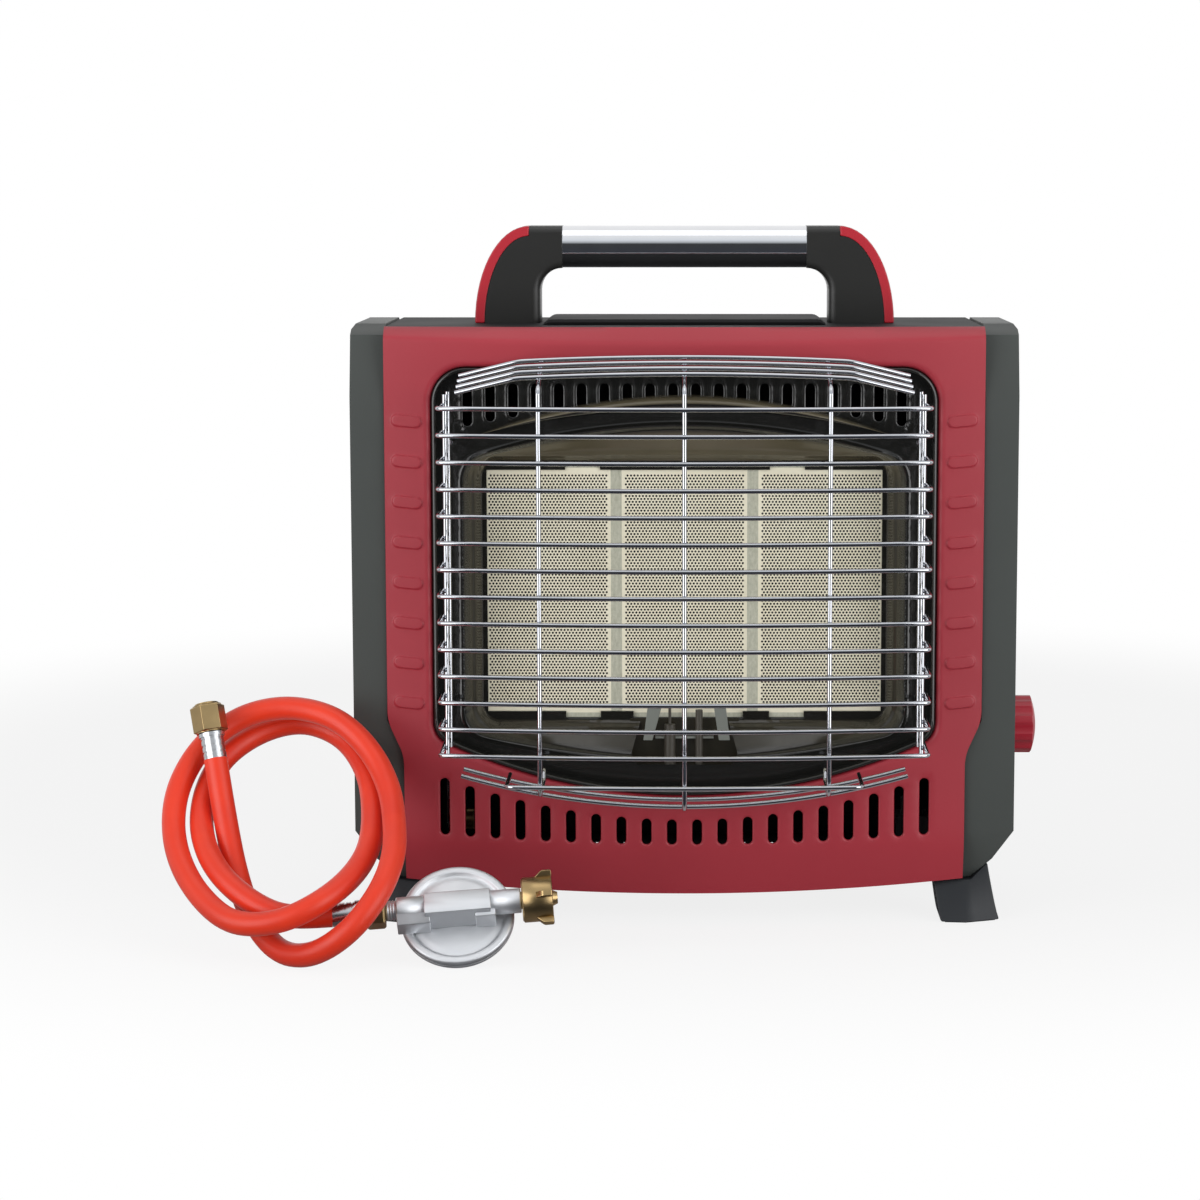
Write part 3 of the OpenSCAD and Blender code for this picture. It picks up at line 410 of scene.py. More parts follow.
def weighted(piece):
    """Keeps a bevelled piece's flats flat and leaves the turn to its rounded edges."""
    smooth_by_angle(piece, 32)
    piece.modifiers.new("normals", "WEIGHTED_NORMAL").keep_sharp = True
    return apply_modifiers(piece)


HARD_EDGE = radians(35)


def bevelled(piece, width):
    """Rounds a piece's hard edges; the width is in millimetres."""
    modifier = piece.modifiers.new("bevel", "BEVEL")
    modifier.width = width * MM
    modifier.segments = 2
    modifier.limit_method = "ANGLE"
    modifier.angle_limit = HARD_EDGE
    return weighted(apply_modifiers(piece))


def flat_faced(source):
    """A CAD node's shape with the triangles of each flat joined to one face."""
    bm = bmesh.new()
    bm.from_mesh(source.data)
    bmesh.ops.remove_doubles(bm, verts=bm.verts, dist=2e-6)
    bmesh.ops.dissolve_limit(bm, angle_limit=radians(1), verts=bm.verts, edges=bm.edges)
    return bm


def refined(node, width):
    """A copy of a CAD node's shape with its hard edges rounded, which stands for the node."""
    source = frame["nodes"][node]
    mesh = source.data.copy()
    bm = flat_faced(source)
    bm.to_mesh(mesh)
    bm.free()
    return finish_piece(bevelled(link_object(node + "_finished", mesh), width), [node])


def tube_curve(name, lines, diameter, sides=4):
    """A curve object: round wire or tube along each line of points in heater millimetres."""
    curve = bpy.data.curves.new(name, "CURVE")
    curve.dimensions = "3D"
    curve.bevel_depth = diameter * MM / 2
    curve.bevel_resolution = sides
    curve.use_fill_caps = True
    for line in lines:
        spline = curve.splines.new("POLY")
        spline.points.add(len(line) - 1)
        for point, place in zip(spline.points, line):
            point.co = (*at(*place), 1)
        spline.use_smooth = True
    return link_object(name, curve)


def rounded(points, radius, steps=6):
    """A line through points in millimetres with its corners rounded by arcs."""
    pts = [Vector(p) for p in points]
    line = [pts[0]]
    for a, b, c in zip(pts, pts[1:], pts[2:]):
        u, v = (a - b).normalized(), (c - b).normalized()
        angle = u.angle(v)
        if angle > pi - 1e-4:
            line.append(b)
            continue
        reach = min(radius / max(tan(angle / 2), 1e-3),
                    (a - b).length * 0.48, (c - b).length * 0.48)
        middle = b + (u + v).normalized() * reach / cos(angle / 2)
        start, end = b + u * reach - middle, b + v * reach - middle
        sweep = start.angle(end)
        for i in range(steps + 1):
            t = i / steps
            line.append(middle + (start * sin((1 - t) * sweep) + end * sin(t * sweep)) / sin(sweep))
    line.append(pts[-1])
    return line


# ---- Hose: the part's route, in heater millimetres ----

HOSE_D = 12.5
REG_LEAN = radians(45)
REG_ROLL = radians(5.3)
REG_RIM = 14
DISC_D = 59
REG_AXIS = Vector((-118, -91, DISC_D / 2 * cos(REG_LEAN) + REG_RIM * sin(REG_LEAN) + 0.05))
REG_MATRIX = Matrix.Rotation(-REG_LEAN, 4, "X") @ Matrix.Rotation(-REG_ROLL, 4, "Y")
FERRULE_L = 14
REG_TAIL = 50
HOSE_END = Vector((-249, -38, 98))


def on_regulator(x, y, z):
    """A heater point from the regulator's own axes, where its gas tube lies along X."""
    return REG_AXIS + REG_MATRIX @ Vector((x, y, z))


HOSE_ROUTE = [Vector(p) for p in (
    on_regulator(-REG_TAIL - FERRULE_L, 0, 0), (-208, -97, 27), (-230, -87, 36), (-246, -71, 48),
    (-255, -51, 62), (-256, -30, 78), (-248, -11, 94), (-229, 2, 106),
    (-206, 5.7, 110), (-184, -1.9, 102), (-170, -23, 87), (-165, -46, 71),
    (-165, -68, 57), (-172, -89, 46), (-187, -107, 36), (-208, -111, 27),
    (-231, -104, 25), (-249, -88, 33), (-263, -69, 47), (-270, -51, 64),
    (-269, -34, 83), (-258, -20, 102), (-238, -11, 116), (-213, -10, 121),
    (-188, -16, 116), (-169, -28, 102), (-157, -45, 85), (-152, -65, 69),
    (-151, -86, 55), (-157, -105, 40), (-171, -114, 23), (-190, -110, 10),
    (-209, -96, 8), (-225, -79, 21), (-235, -63, 40), (-242, -50, 64), HOSE_END,
)]
HOSE_STEPS = 8


def smooth_line(points, steps):
    """A smooth curve through points, as the part's source draws it, with its ripples evened out."""
    last = len(points) - 1
    line = []
    for i in range(last):
        a, b = points[max(i - 1, 0)], points[i]
        c, d = points[i + 1], points[min(i + 2, last)]
        for k in range(steps):
            t = k / steps
            line.append(0.5 * (2 * b + (c - a) * t + (2 * a - 5 * b + 4 * c - d) * t * t
                               + (3 * b - a - 3 * c + d) * t ** 3))
    line.append(points[last])
    for _ in range(4):
        line = [line[0], line[1]] + [
            b * 0.5 + (a + c) * 0.25 for a, b, c in zip(line[1:], line[2:], line[3:])
        ] + line[-1:]
    return line


hose_line = smooth_line(HOSE_ROUTE, HOSE_STEPS)
hose_length = sum((b - a).length for a, b in zip(hose_line, hose_line[1:]))
hose = tube_curve("hose_tube", [hose_line], HOSE_D, 8)
finish_piece(hose, ["hose"])
at(*hose_line[0])

# ---- Wire guard ----

WIRE_D = 2.5
WIRE_N = 14
WIRE_TOP = 285
WIRE_LOW = 102
GUARD_X = 130
GUARD_D = 50
GUARD_BOW = 10
UPRIGHT_X = 76
LOW_WIRE_X = 93.75
GUARD_R = arc_radius(GUARD_X, GUARD_BOW)
WIN_TOP = 304
WIN_LOW = 72
PLATE_Y = 8
WIRE_PITCH = (WIRE_TOP - WIRE_LOW) / (WIRE_N - 1)
# The uprights bend back at BEND_Z; the top wires lie on the slope from there to SLOPE_Y, SLOPE_Z.
BEND_Z, SLOPE_Y, SLOPE_Z = WIRE_TOP + 10, -14, WIRE_TOP + 21
TOP_WIRE_N, TOP_PITCH, TOP_BEND_X, TOP_END_X = 4, 10, 88, 120
# The bottom wires' radius, and half their arc in degrees
BOTTOM_R, BOTTOM_HALF = 430, 16


def front_y(x):
    """Y of the guard's front wires at x."""
    return -GUARD_D - GUARD_BOW + GUARD_R - sqrt(GUARD_R * GUARD_R - x * x)


def bowed_line(z, half):
    """A line across the guard's bowed front."""
    return [Vector((x, front_y(x), z)) for x in (half * (i / 14 - 1) for i in range(29))]


def bent_wire(z, half, back):
    """A bowed wire whose ends bend back to the depth back."""
    front = bowed_line(z, half)
    left = rounded([(-half, back, z), front[0], front[3]], 4)
    right = rounded([front[-4], front[-1], (half, back, z)], 4)
    return left[:-1] + front[3:-3] + right[1:]


def wires(name, lines, nodes):
    return finish_piece(tube_curve(name, lines, WIRE_D), nodes)


def guard_front():
    """The front wires. The lowest is short, and its ends turn back onto the bottom wires."""
    lines = [bent_wire(WIRE_TOP - i * WIRE_PITCH, GUARD_X - WIRE_D / 2, -4) for i in range(WIRE_N)]
    lines.append(bent_wire(WIRE_LOW - 16, LOW_WIRE_X, -18))
    wires("guard_wires", lines, ["guard_front_wires", "guard_side_returns"])


def guard_uprights():
    """Three uprights behind the front wires, the middle one longer at its foot."""
    lines = []
    high_in = WIN_TOP - 5.5
    for x, drop, foot_in in ((-UPRIGHT_X, 21, 14.5), (0, 28, 5), (UPRIGHT_X, 21, 14.5)):
        y, low, low_in = front_y(x) + WIRE_D - 0.1, WIRE_LOW - drop, WIN_LOW + foot_in
        lines.append(rounded([
            (x, PLATE_Y, high_in), (x, SLOPE_Y + 3, high_in), (x, SLOPE_Y, SLOPE_Z),
            (x, y, BEND_Z), (x, y, low), (x, SLOPE_Y, low), (x, SLOPE_Y + 5, low_in),
            (x, PLATE_Y, low_in),
        ], 5))
    wires("guard_upright_wires", lines, ["guard_uprights", "guard_upright_returns"])


def guard_top():
    """Wires across the slope at the top, faintly arched and bent down at their ends."""
    lines = []
    for i in range(TOP_WIRE_N):
        y = SLOPE_Y - TOP_PITCH * i
        share = (y + GUARD_D + GUARD_BOW) / (SLOPE_Y + GUARD_D + GUARD_BOW)
        z = BEND_Z + (SLOPE_Z - BEND_Z) * share + WIRE_D
        middle = [(x, y, z + 1.2 - 2.2 * (x / TOP_BEND_X) ** 2)
                  for x in range(-TOP_BEND_X, TOP_BEND_X + 1, 11)]
        ends = [(side * TOP_END_X, y + 7, z - 9) for side in (-1, 1)]
        lines.append(rounded([ends[0]] + middle + [ends[1]], 25, 4))
    wires("guard_top_wires_bent", lines, ["guard_top_wires"])


def guard_bottom():
    """Two bottom wires, arched downwards."""
    z = WIRE_LOW - 27 - WIRE_D + 0.1 + BOTTOM_R
    angles = [radians(270 + i) for i in range(-BOTTOM_HALF, BOTTOM_HALF + 1)]
    lines = [[(BOTTOM_R * cos(a), y, z + BOTTOM_R * sin(a)) for a in angles]
             for y in (-0.8 * GUARD_D, -0.4 * GUARD_D)]
    wires("guard_bottom_wires_bent", lines, ["guard_bottom_wires"])


def guard_sides():
    """Two uprights at each side and the hooks that hold them to the reflector's plate."""
    x = GUARD_X - 1.5 * WIRE_D + 0.1
    hook_x = x - WIRE_D / 2
    lines = []
    for s in (-1, 1):
        lines += [[(s * x, y, WIRE_LOW - 3), (s * x, y, WIRE_TOP + 6)] for y in (-28, -6)]
        lines += [[(s * hook_x, -6, z), (s * hook_x, PLATE_Y, z)]
                  for z in (WIRE_LOW + 1.5 * WIRE_PITCH, WIRE_TOP - 1.5 * WIRE_PITCH)]
    wires("guard_side_uprights", lines, ["guard_side_wires"])


guard_front()
guard_uprights()
guard_top()
guard_bottom()
guard_sides()

# ---- Plaques with their burner holes ----

HOLE_PITCH = 1.85
HOLE_R = 0.66
HOLE_DEPTH = 6
PLAQUE_MARGIN = 1.6
PLAQUE_MARGIN_Z = 2.7


def plaque(node):
    """A ceramic plate, its face tiled with hexagonal cells that each have a burner hole."""
    (x0, y0, z0), (x1, y1, z1) = node_box(node)
    verts, faces = [], []
    columns = int((x1 - x0 - 2 * PLAQUE_MARGIN) / HOLE_PITCH)
    grid_z = HOLE_PITCH * sqrt(3) / 2
    rows = int((z1 - z0 - 2 * PLAQUE_MARGIN_Z) / grid_z)
    left = (x0 + x1) / 2 - (columns - 0.5) * HOLE_PITCH / 2
    low = (z0 + z1) / 2 - (rows - 1) * grid_z / 2
    cell = HOLE_PITCH / sqrt(3)
    for row in range(rows):
        for column in range(columns):
            cx = left + (column + (row % 2) * 0.5) * HOLE_PITCH
            cz = low + row * grid_z
            first = len(verts)
            for ring_r, y in ((cell, y0), (HOLE_R, y0), (HOLE_R * 0.96, y0 + HOLE_DEPTH)):
                for k in range(6):
                    a = pi / 6 + k * pi / 3
                    verts.append(at(cx + ring_r * cos(a), y, cz + ring_r * sin(a)))
            for k in range(6):
                j = (k + 1) % 6
                faces.append((first + k, first + j, first + 6 + j, first + 6 + k))
                faces.append((first + 6 + k, first + 6 + j, first + 12 + j, first + 12 + k))
            faces.append(tuple(first + 12 + k for k in range(6)))
    grid = mesh_object(node + "_tiles", verts, faces, 25)
    # The plain margin round the tiled field joins the cells' outer rim to the plate's edge.
    bm = bmesh.new()
    bm.from_mesh(grid.data)
    bmesh.ops.remove_doubles(bm, verts=bm.verts, dist=2e-5)
    rim = [e for e in bm.edges if len(e.link_faces) == 1]
    places = ((x0, z0), (x1, z0), (x1, z1), (x0, z1))
    corners, back = ([bm.verts.new(at(x, y, z)) for x, z in places] for y in (y0, y1))
    front = [bm.edges.new((corners[k], corners[(k + 1) % 4])) for k in range(4)]
    bmesh.ops.triangle_fill(bm, use_beauty=True, use_dissolve=False, edges=rim + front)
    for k in range(4):
        j = (k + 1) % 4
        bm.faces.new((corners[k], corners[j], back[j], back[k]))
    bm.faces.new(back[::-1])
    bmesh.ops.recalc_face_normals(bm, faces=bm.faces)
    bm.to_mesh(grid.data)
    bm.free()
    smooth_by_angle(grid, 25)
    grid.name = node + "_drilled"
    return finish_piece(grid, [node])


for name in ("plaque_left", "plaque_middle", "plaque_right"):
    plaque(name)

# ---- Pressed sheets: outlines drawn in X and Z, pressed back and forth in Y ----

WIN_X = 136
WIN_SIDE = 103
WIN_R = 19
WIN_LOW_BEND = 8
WALL = 1.2


def arc(cx, cz, r, start, end, n):
    angles = [radians(start + (end - start) * i / n) for i in range(n + 1)]
    return [(cx + r * cos(a), cz + r * sin(a)) for a in angles]


def bend(a, over, b, n=10):
    """A smooth bend from a to b that heads for the corner between them."""
    return [tuple((1 - t) ** 2 * p + 2 * t * (1 - t) * q + t * t * r for p, q, r in zip(a, over, b))
            for t in (k / n for k in range(1, n))]


def window_outline(inset, fine=1):
    """The window's outline in X and Z, moved inwards by inset."""
    half = WIN_X - inset
    low_r = arc_radius(WIN_X, WIN_SIDE - WIN_LOW) - inset
    low_z = WIN_LOW + inset + low_r
    spread = degrees(asin((half - WIN_LOW_BEND) / low_r))
    top_r = max(WIN_R - inset, 1)
    top_z = WIN_TOP - inset - top_r
    top = (arc(half - top_r, top_z, top_r, 0, 90, 12 * fine)
           + arc(top_r - half, top_z, top_r, 90, 180, 12 * fine))
    low = arc(0, low_z, low_r, 270 - spread, 270 + spread, 80 * fine)
    corner_z = low_z - sqrt(low_r * low_r - half * half)
    side_z = corner_z + WIN_LOW_BEND
    left = bend((-half, side_z), (-half, corner_z), low[0], 8 * fine)
    right = bend(low[-1], (half, corner_z), (half, side_z), 8 * fine)
    return top + [(-half, side_z)] + left + low + right + [(half, side_z)]


def slot_outline(x, low, high, width):
    """An upright slot with round ends."""
    r = width / 2
    return arc(x, high - r, r, 0, 180, 8) + arc(x, low + r, r, 180, 360, 8)


def filled(line, step):
    """A closed line with points added so that none are more than step apart."""
    out = []
    for (ax, az), (bx, bz) in zip(line, line[1:] + line[:1]):
        n = max(1, ceil(hypot(bx - ax, bz - az) / step))
        out += [(ax + (bx - ax) * k / n, az + (bz - az) * k / n) for k in range(n)]
    return out


def inside(points, loop):
    """Which of the points lie inside a closed loop."""
    x, z = points[:, 0], points[:, 1]
    result = np.zeros(len(points), bool)
    for (ax, az), (bx, bz) in zip(loop, loop[1:] + loop[:1]):
        if az == bz:
            continue
        crosses = (az > z) != (bz > z)
        result ^= crosses & (x < (bx - ax) * (z - az) / (bz - az) + ax)
    return result


class Near:
    """Distances to a set of lines, by their points."""

    def __init__(self, lines):
        points = [p for line in lines for p in line]
        self.tree = KDTree(len(points))
        for i, (x, z) in enumerate(points):
            self.tree.insert((x, z, 0), i)
        self.tree.balance()

    def __call__(self, x, z):
        return self.tree.find((x, z, 0))[2]


def on_sheet(points, outer, holes):
    """Which of the points lie inside an outline and outside its holes."""
    points = np.array(points)
    kept = inside(points, outer)
    for hole in holes:
        kept &= ~inside(points, hole)
    return kept


def sheet(name, outer, holes, guides, spacing, depth, wall=WALL):
    """A pressed sheet of even wall: triangles inside its outline, pressed to depth(x, z).

    The guides are lines of points along bends, where the triangles need to be finer.
    """
    flat, edges = [], []
    for loop in [outer] + holes:
        first = len(flat)
        flat += loop
        edges += [(first + i, first + (i + 1) % len(loop)) for i in range(len(loop))]
    flat += [p for guide in guides for p in guide]
    near = Near([flat])
    (x0, x1), (z0, z1) = ((min(values), max(values)) for values in zip(*outer))
    grid = []
    for row in range(int((z1 - z0) / spacing) + 1):
        for column in range(int((x1 - x0) / spacing) + 1):
            grid.append((x0 + (column + (row % 2) * 0.5) * spacing, z0 + row * spacing))
    flat += [p for p, kept in zip(grid, on_sheet(grid, outer, holes))
             if kept and near(*p) > spacing * 0.6]
    verts, _, faces, *_ = delaunay_2d_cdt([Vector(p) for p in flat], edges, [], 0, 1e-6)
    middles = [sum((verts[i] for i in f), Vector((0, 0))) / len(f) for f in faces]
    faces = [f if (verts[f[1]] - verts[f[0]]).cross(verts[f[2]] - verts[f[0]]) > 0 else f[::-1]
             for f, kept in zip(faces, on_sheet(middles, outer, holes)) if kept]
    n = len(verts)
    deep = [depth(v.x, v.y) for v in verts]
    points = [at(v.x, d + back, v.y) for back in (0, wall) for v, d in zip(verts, deep)]
    sides = {side: None for f in faces for side in zip(f, f[1:] + f[:1])}
    every = [tuple(f) for f in faces] + [tuple(i + n for i in f[::-1]) for f in faces]
    every += [(b, a, a + n, b + n) for a, b in sides if (b, a) not in sides]
    bm = as_bmesh(points, every)
    bmesh.ops.delete(bm, geom=[v for v in bm.verts if not v.link_faces], context="VERTS")
    return from_bmesh(name, bm, 50)


def soft(value, width):
    """0 below 0 and value above it, with a soft bend between."""
    return (value + sqrt(value * value + width * width)) / 2


def smoothstep(value, low, high):
    """0 up to low, 1 from high on, and a soft step between."""
    t = min(max((value - low) / (high - low), 0), 1)
    return t * t * (3 - 2 * t)


def bell(distance, width):
    """1 at 0, and softly down to 0 on either side."""
    return exp(-(distance / width) ** 2)


def rolled(distance, radius):
    """How far back a rolled edge lies at this distance from its rim."""
    if distance >= radius:
        return 0
    return radius - sqrt(radius * radius - (radius - distance) ** 2)


# ---- Front panel ----

FOOT_H = 24
BODY_TOP = 325
PANEL_BEVEL = 7
PANEL_TUCK = 8
CREASE_Z = 44
PANEL_LOW = 16.5
STEP_X, STEP_TOP, STEP_LOW, STEP_BEND = 152.2, 112, 93, 6
SLOT_N, SLOT_W, SLOT_PITCH = 20, 5.2, 13.7
PILL_X, PILL_TOP, PILL_PITCH, PILL_N = 149, 275, 21.8, 8
PILL_TILT = radians(5)
PILL_HALF, PILL_R, PILL_H = 5, 3, 1.15
WINDOW_ROLL = 3.2
SLOT_ROLL = 0.9


def bevel_z(x):
    """Height at which the panel's top edge starts to lean back, lowest at the middle."""
    return BODY_TOP - 4.5 - 4 * (1 - (x / PANEL_X) ** 2)


def slot_ends(x):
    """Lower and upper end of the panel's slot at x."""
    share = (x / WIN_X) ** 2
    return 45 + 5 * share, 59 + 24 * share


def pill_distance(x, z):
    """Distance from the middle line of the nearest pill-shaped stamping."""
    i = min(max(round((PILL_TOP - z) / PILL_PITCH), 0), PILL_N - 1)
    dx, dz = abs(x) - PILL_X, z - (PILL_TOP - i * PILL_PITCH)
    along = dx * cos(PILL_TILT) + dz * sin(PILL_TILT)
    across = dz * cos(PILL_TILT) - dx * sin(PILL_TILT)
    return hypot(max(abs(along) - PILL_HALF, 0), across)


def pill_line(side, i, r):
    """The outline of one stamping at the distance r from its middle line."""
    line = []
    for x, z in slot_outline(0, -PILL_HALF - r, PILL_HALF + r, 2 * r):
        along, across = z, x
        line.append((side * (PILL_X + along * cos(PILL_TILT) - across * sin(PILL_TILT)),
                     PILL_TOP - i * PILL_PITCH + along * sin(PILL_TILT) + across * cos(PILL_TILT)))
    return filled(line, 1.2)


def front_panel():
    """The red panel: bowed, leaning back at its top and tucked in below its crease."""
    rise = FOOT_H - PANEL_LOW
    low_r = arc_radius(STEP_X, rise)
    spread = degrees(asin(STEP_X / low_r))
    run = STEP_BEND / hypot(PANEL_X - STEP_X, STEP_TOP - STEP_LOW)
    slant = ((PANEL_X - STEP_X) * run, (STEP_TOP - STEP_LOW) * run)
    step = [(PANEL_X, STEP_TOP + STEP_BEND)]
    step += bend(step[0], (PANEL_X, STEP_TOP), (PANEL_X - slant[0], STEP_TOP - slant[1]))
    step += bend((STEP_X + slant[0], STEP_LOW + slant[1]), (STEP_X, STEP_LOW),
                 (STEP_X, STEP_LOW - STEP_BEND))
    step.append((STEP_X, STEP_LOW - STEP_BEND))
    outer = filled([(PANEL_X, BODY_TOP), (-PANEL_X, BODY_TOP)] + [(-x, z) for x, z in step]
                   + arc(0, PANEL_LOW + low_r, low_r, 270 - spread, 270 + spread, 60)
                   + step[::-1], 2.5)
    window = filled(window_outline(0), 1.5)
    slots = []
    guides = [filled(window_outline(-WINDOW_ROLL * k), 1.5)
              for k in (0.04, 0.16, 0.35, 0.65, 1.0, 1.3)]
    for i in range(SLOT_N):
        x = (i - (SLOT_N - 1) / 2) * SLOT_PITCH
        low, high = slot_ends(x)
        slots.append(filled(slot_outline(x, low, high, SLOT_W), 1.2))
        for k in (0.1, 0.4, 1.0):
            o = SLOT_ROLL * k
            guides.append(filled(slot_outline(x, low - o, high + o, SLOT_W + 2 * o), 1.2))
    for side in (-1, 1):
        for i in range(PILL_N):
            guides += [pill_line(side, i, PILL_R + o) for o in (-0.9, -0.3, 0.1, 0.5, 0.9)]
    across = [x * 2.4 for x in range(-66, 67)]
    for d in (-5, -3.2, -1.9, -0.8, 0.3, 1.4, 2.6):
        guides.append([(x, bevel_z(x) + d) for x in across])
    for d in (-6, -3.5, -1.2, 1.2):
        guides.append([(x, CREASE_Z + d) for x in across[5:-5]])
    window_near = Near([filled(window_outline(0), 0.3)])
    slot_near = Near([filled(slot, 0.3) for slot in slots])

    def depth(x, z):
        start = bevel_z(x)
        y = bow(x) + soft(z - start, 1.6) * PANEL_BEVEL / (BODY_TOP - start)
        y += soft(CREASE_Z - z, 5) * PANEL_TUCK / (CREASE_Z - PANEL_LOW)
        y -= PILL_H * (1 - smoothstep(pill_distance(x, z), PILL_R - 0.4, PILL_R + 0.6))
        return y + rolled(window_near(x, z), WINDOW_ROLL) + rolled(slot_near(x, z), SLOT_ROLL)

    outline_near = Near([outer])
    guides = [[p for p in guide if window_near(*p) > 0.05 and slot_near(*p) > 0.05
               and outline_near(*p) > 0.8] for guide in guides]
    piece = sheet("front_panel_pressed", outer, [window] + slots, guides, 3.0, depth)
    return finish_piece(piece, ["front_panel"])


front_panel()

# ---- Reflector ----

LIP_INSET = 0.3
DISH_X = 119.5
FRAME_X, FRAME_LOW, FRAME_TOP, FRAME_R = 110.2, 108.8, 251.6, 9
FRAME_Y = 23.8
PILOT_X, PILOT_LOW = 24, 86.5
HOOD_X, HOOD_REACH = 112, 11.5
VENT_N, VENT_PITCH, VENT_TOP = 20, 12.3, 294.5
VENT_LOW, VENT_DROP, VENT_X = 284, 12.5, 117
GROOVES = (
    ((-128, 274.3), (-120, 273)), ((-120, 273), (-119.5, 267)), ((-119.5, 267), (-117, 262.4)),
    ((-127, 260), (-120, 259.4)), ((-120, 259.4), (-116, 262)), ((-116, 262), (-112, 264.5)),
)


def arch(x, middle, drop, half):
    """Height of a shallow arch that has dropped by drop at half from its middle."""
    return middle - drop * (x / half) ** 2


def dish_top(x):
    return arch(x, 272.1, 17.2, 112.9)


def dish_low(x):
    return arch(x, 89, -15, 116.4)


def dish_outline(grow=0.0):
    """The dish's edge in X and Z: straight sides, bowed top and bottom, round corners."""
    half, corner = DISH_X + grow, 13
    steps = [(half - corner) * (1 - k / 30) for k in range(61)]
    top = [(x, dish_top(x) + grow) for x in steps]
    low = [(x, dish_low(x) - grow) for x in reversed(steps)]
    top_z, low_z, turn = top[0][1], low[0][1], corner + 3
    left = (bend(top[-1], (-half, top_z - 2.6), (-half, top_z - turn))
            + [(-half, top_z - turn), (-half, low_z + turn)]
            + bend((-half, low_z + turn), (-half, low_z + 2.6), low[0]))
    return top + left + low + [(-x, z) for x, z in left[::-1]]


def frame_outline(grow=0.0):
    x, low, top, r = FRAME_X + grow, FRAME_LOW - grow, FRAME_TOP + grow, FRAME_R + grow
    return (arc(x - r, top - r, r, 0, 90, 8) + arc(r - x, top - r, r, 90, 180, 8)
            + arc(r - x, low + r, r, 180, 270, 8) + arc(x - r, low + r, r, 270, 360, 8))


def segment_distance(x, z, a, b):
    """Distance of a point from the line from a to b."""
    ux, uz = b[0] - a[0], b[1] - a[1]
    t = min(max(((x - a[0]) * ux + (z - a[1]) * uz) / (ux * ux + uz * uz), 0), 1)
    return hypot(x - a[0] - t * ux, z - a[1] - t * uz)


def reflector():
    """The reflector's plate with its vents, and the dish pressed back towards the burner."""
    outer = filled(window_outline(LIP_INSET), 1.5)
    # The pilot's gap is cut out of the dish's lower wall and joins the burner's opening.
    notch = [(x, z) for x, z in filled(frame_outline(), 1.5)
             if z >= FRAME_LOW + 0.5 or abs(x) >= PILOT_X]
    left = next(i for i, (p, q) in enumerate(zip(notch, notch[1:]))
                if p[0] < -PILOT_X + 2 and q[0] > PILOT_X - 2)
    half_gap = [(PILOT_X + 2, PILOT_LOW), (PILOT_X + 5, PILOT_LOW + 6), (PILOT_X, FRAME_LOW)]
    gap = filled([(-x, z) for x, z in half_gap[::-1]] + half_gap, 1.5)
    gap = gap[:gap.index(half_gap[-1]) + 1]
    hole = notch[:left + 1] + gap + notch[left + 1:]
    vents, guides = [], []
    for i in range(VENT_N):
        x = (i - (VENT_N - 1) / 2) * VENT_PITCH
        low = arch(x, VENT_LOW, VENT_DROP, VENT_X)
        vents.append(filled(slot_outline(x, low, VENT_TOP, SLOT_W), 1.2))
        for o in (0.35, 0.8, 1.3, 1.9):
            guides.append(filled(slot_outline(x, low - o, VENT_TOP + o, SLOT_W + 2 * o), 1.3))
    for outline, steps in ((dish_outline, (-3, -2, -1.1, -0.4, 0.4, 1.1, 2, 3.2)),
                           (frame_outline, (1.0, 2.0, 2.8, 3.6, 4.6, 5.6))):
        guides += [filled(outline(grow), 1.6) for grow in steps]
    dish = dish_outline()
    dish_near, frame_near = Near([filled(dish, 0.6)]), Near([filled(frame_outline(), 0.4)])
    vent_near = Near([filled(v, 0.3) for v in vents])
    outer_near, hole_near = Near([outer]), Near([hole])
    grooves = GROOVES + tuple(tuple((-x, z) for x, z in pair) for pair in GROOVES)

    def depth(x, z):
        to_dish, to_frame = dish_near(x, z), frame_near(x, z)
        y = PLATE_Y
        if inside(np.array([(x, z)]), dish)[0]:
            share = to_dish / (to_dish + to_frame + 1e-6)
            y += (FRAME_Y - 1 - PLATE_Y) * share
            y -= 1.3 * bell(to_frame - 3.4, 1.1)
        y -= 1.5 * bell(to_dish, 1.3)
        y -= 0.4 * bell(vent_near(x, z) - 0.9, 0.8)
        if z > 255 and abs(x) > 110:
            y += 0.9 * bell(min(segment_distance(x, z, a, b) for a, b in grooves), 0.55)
        return y

    def clear(p):
        return outer_near(*p) > 1 and vent_near(*p) > 0.3 and hole_near(*p) > 0.7

    guides = [[p for p, kept in zip(g, on_sheet(g, outer, [hole])) if kept and clear(p)]
              for g in guides]
    return sheet("reflector_pressed", outer, [hole] + vents, guides, 2.2, depth)


def ring_faces(rows, n, closed=False):
    """Faces between rows of n points each, every row a closed ring."""
    return [(i * n + k, i * n + (k + 1) % n, (i + 1) % rows * n + (k + 1) % n,
             (i + 1) % rows * n + k)
            for i in range(rows if closed else rows - 1) for k in range(n)]


def reflector_lip():
    """The reflector's front edge, from just behind the panel's face back to the plate."""
    verts = []
    n = len(filled(window_outline(0), 2))
    # Inset from the window's outline, and depth behind the panel's face or None for the plate's
    rings = ((0.35, 1.0), (0.9, 0.2), (1.7, 0.0), (2.4, 0.5), (2.6, 1.4), (2.6, None), (0.35, None))
    for inset, back in rings:
        for x, z in filled_like(window_outline(inset, 2), n):
            verts.append(at(x, PLATE_Y + 0.2 if back is None else bow(x) + 0.6 + back, z))
    return mesh_object("reflector_lip", verts, ring_faces(len(rings), n, True), 40)


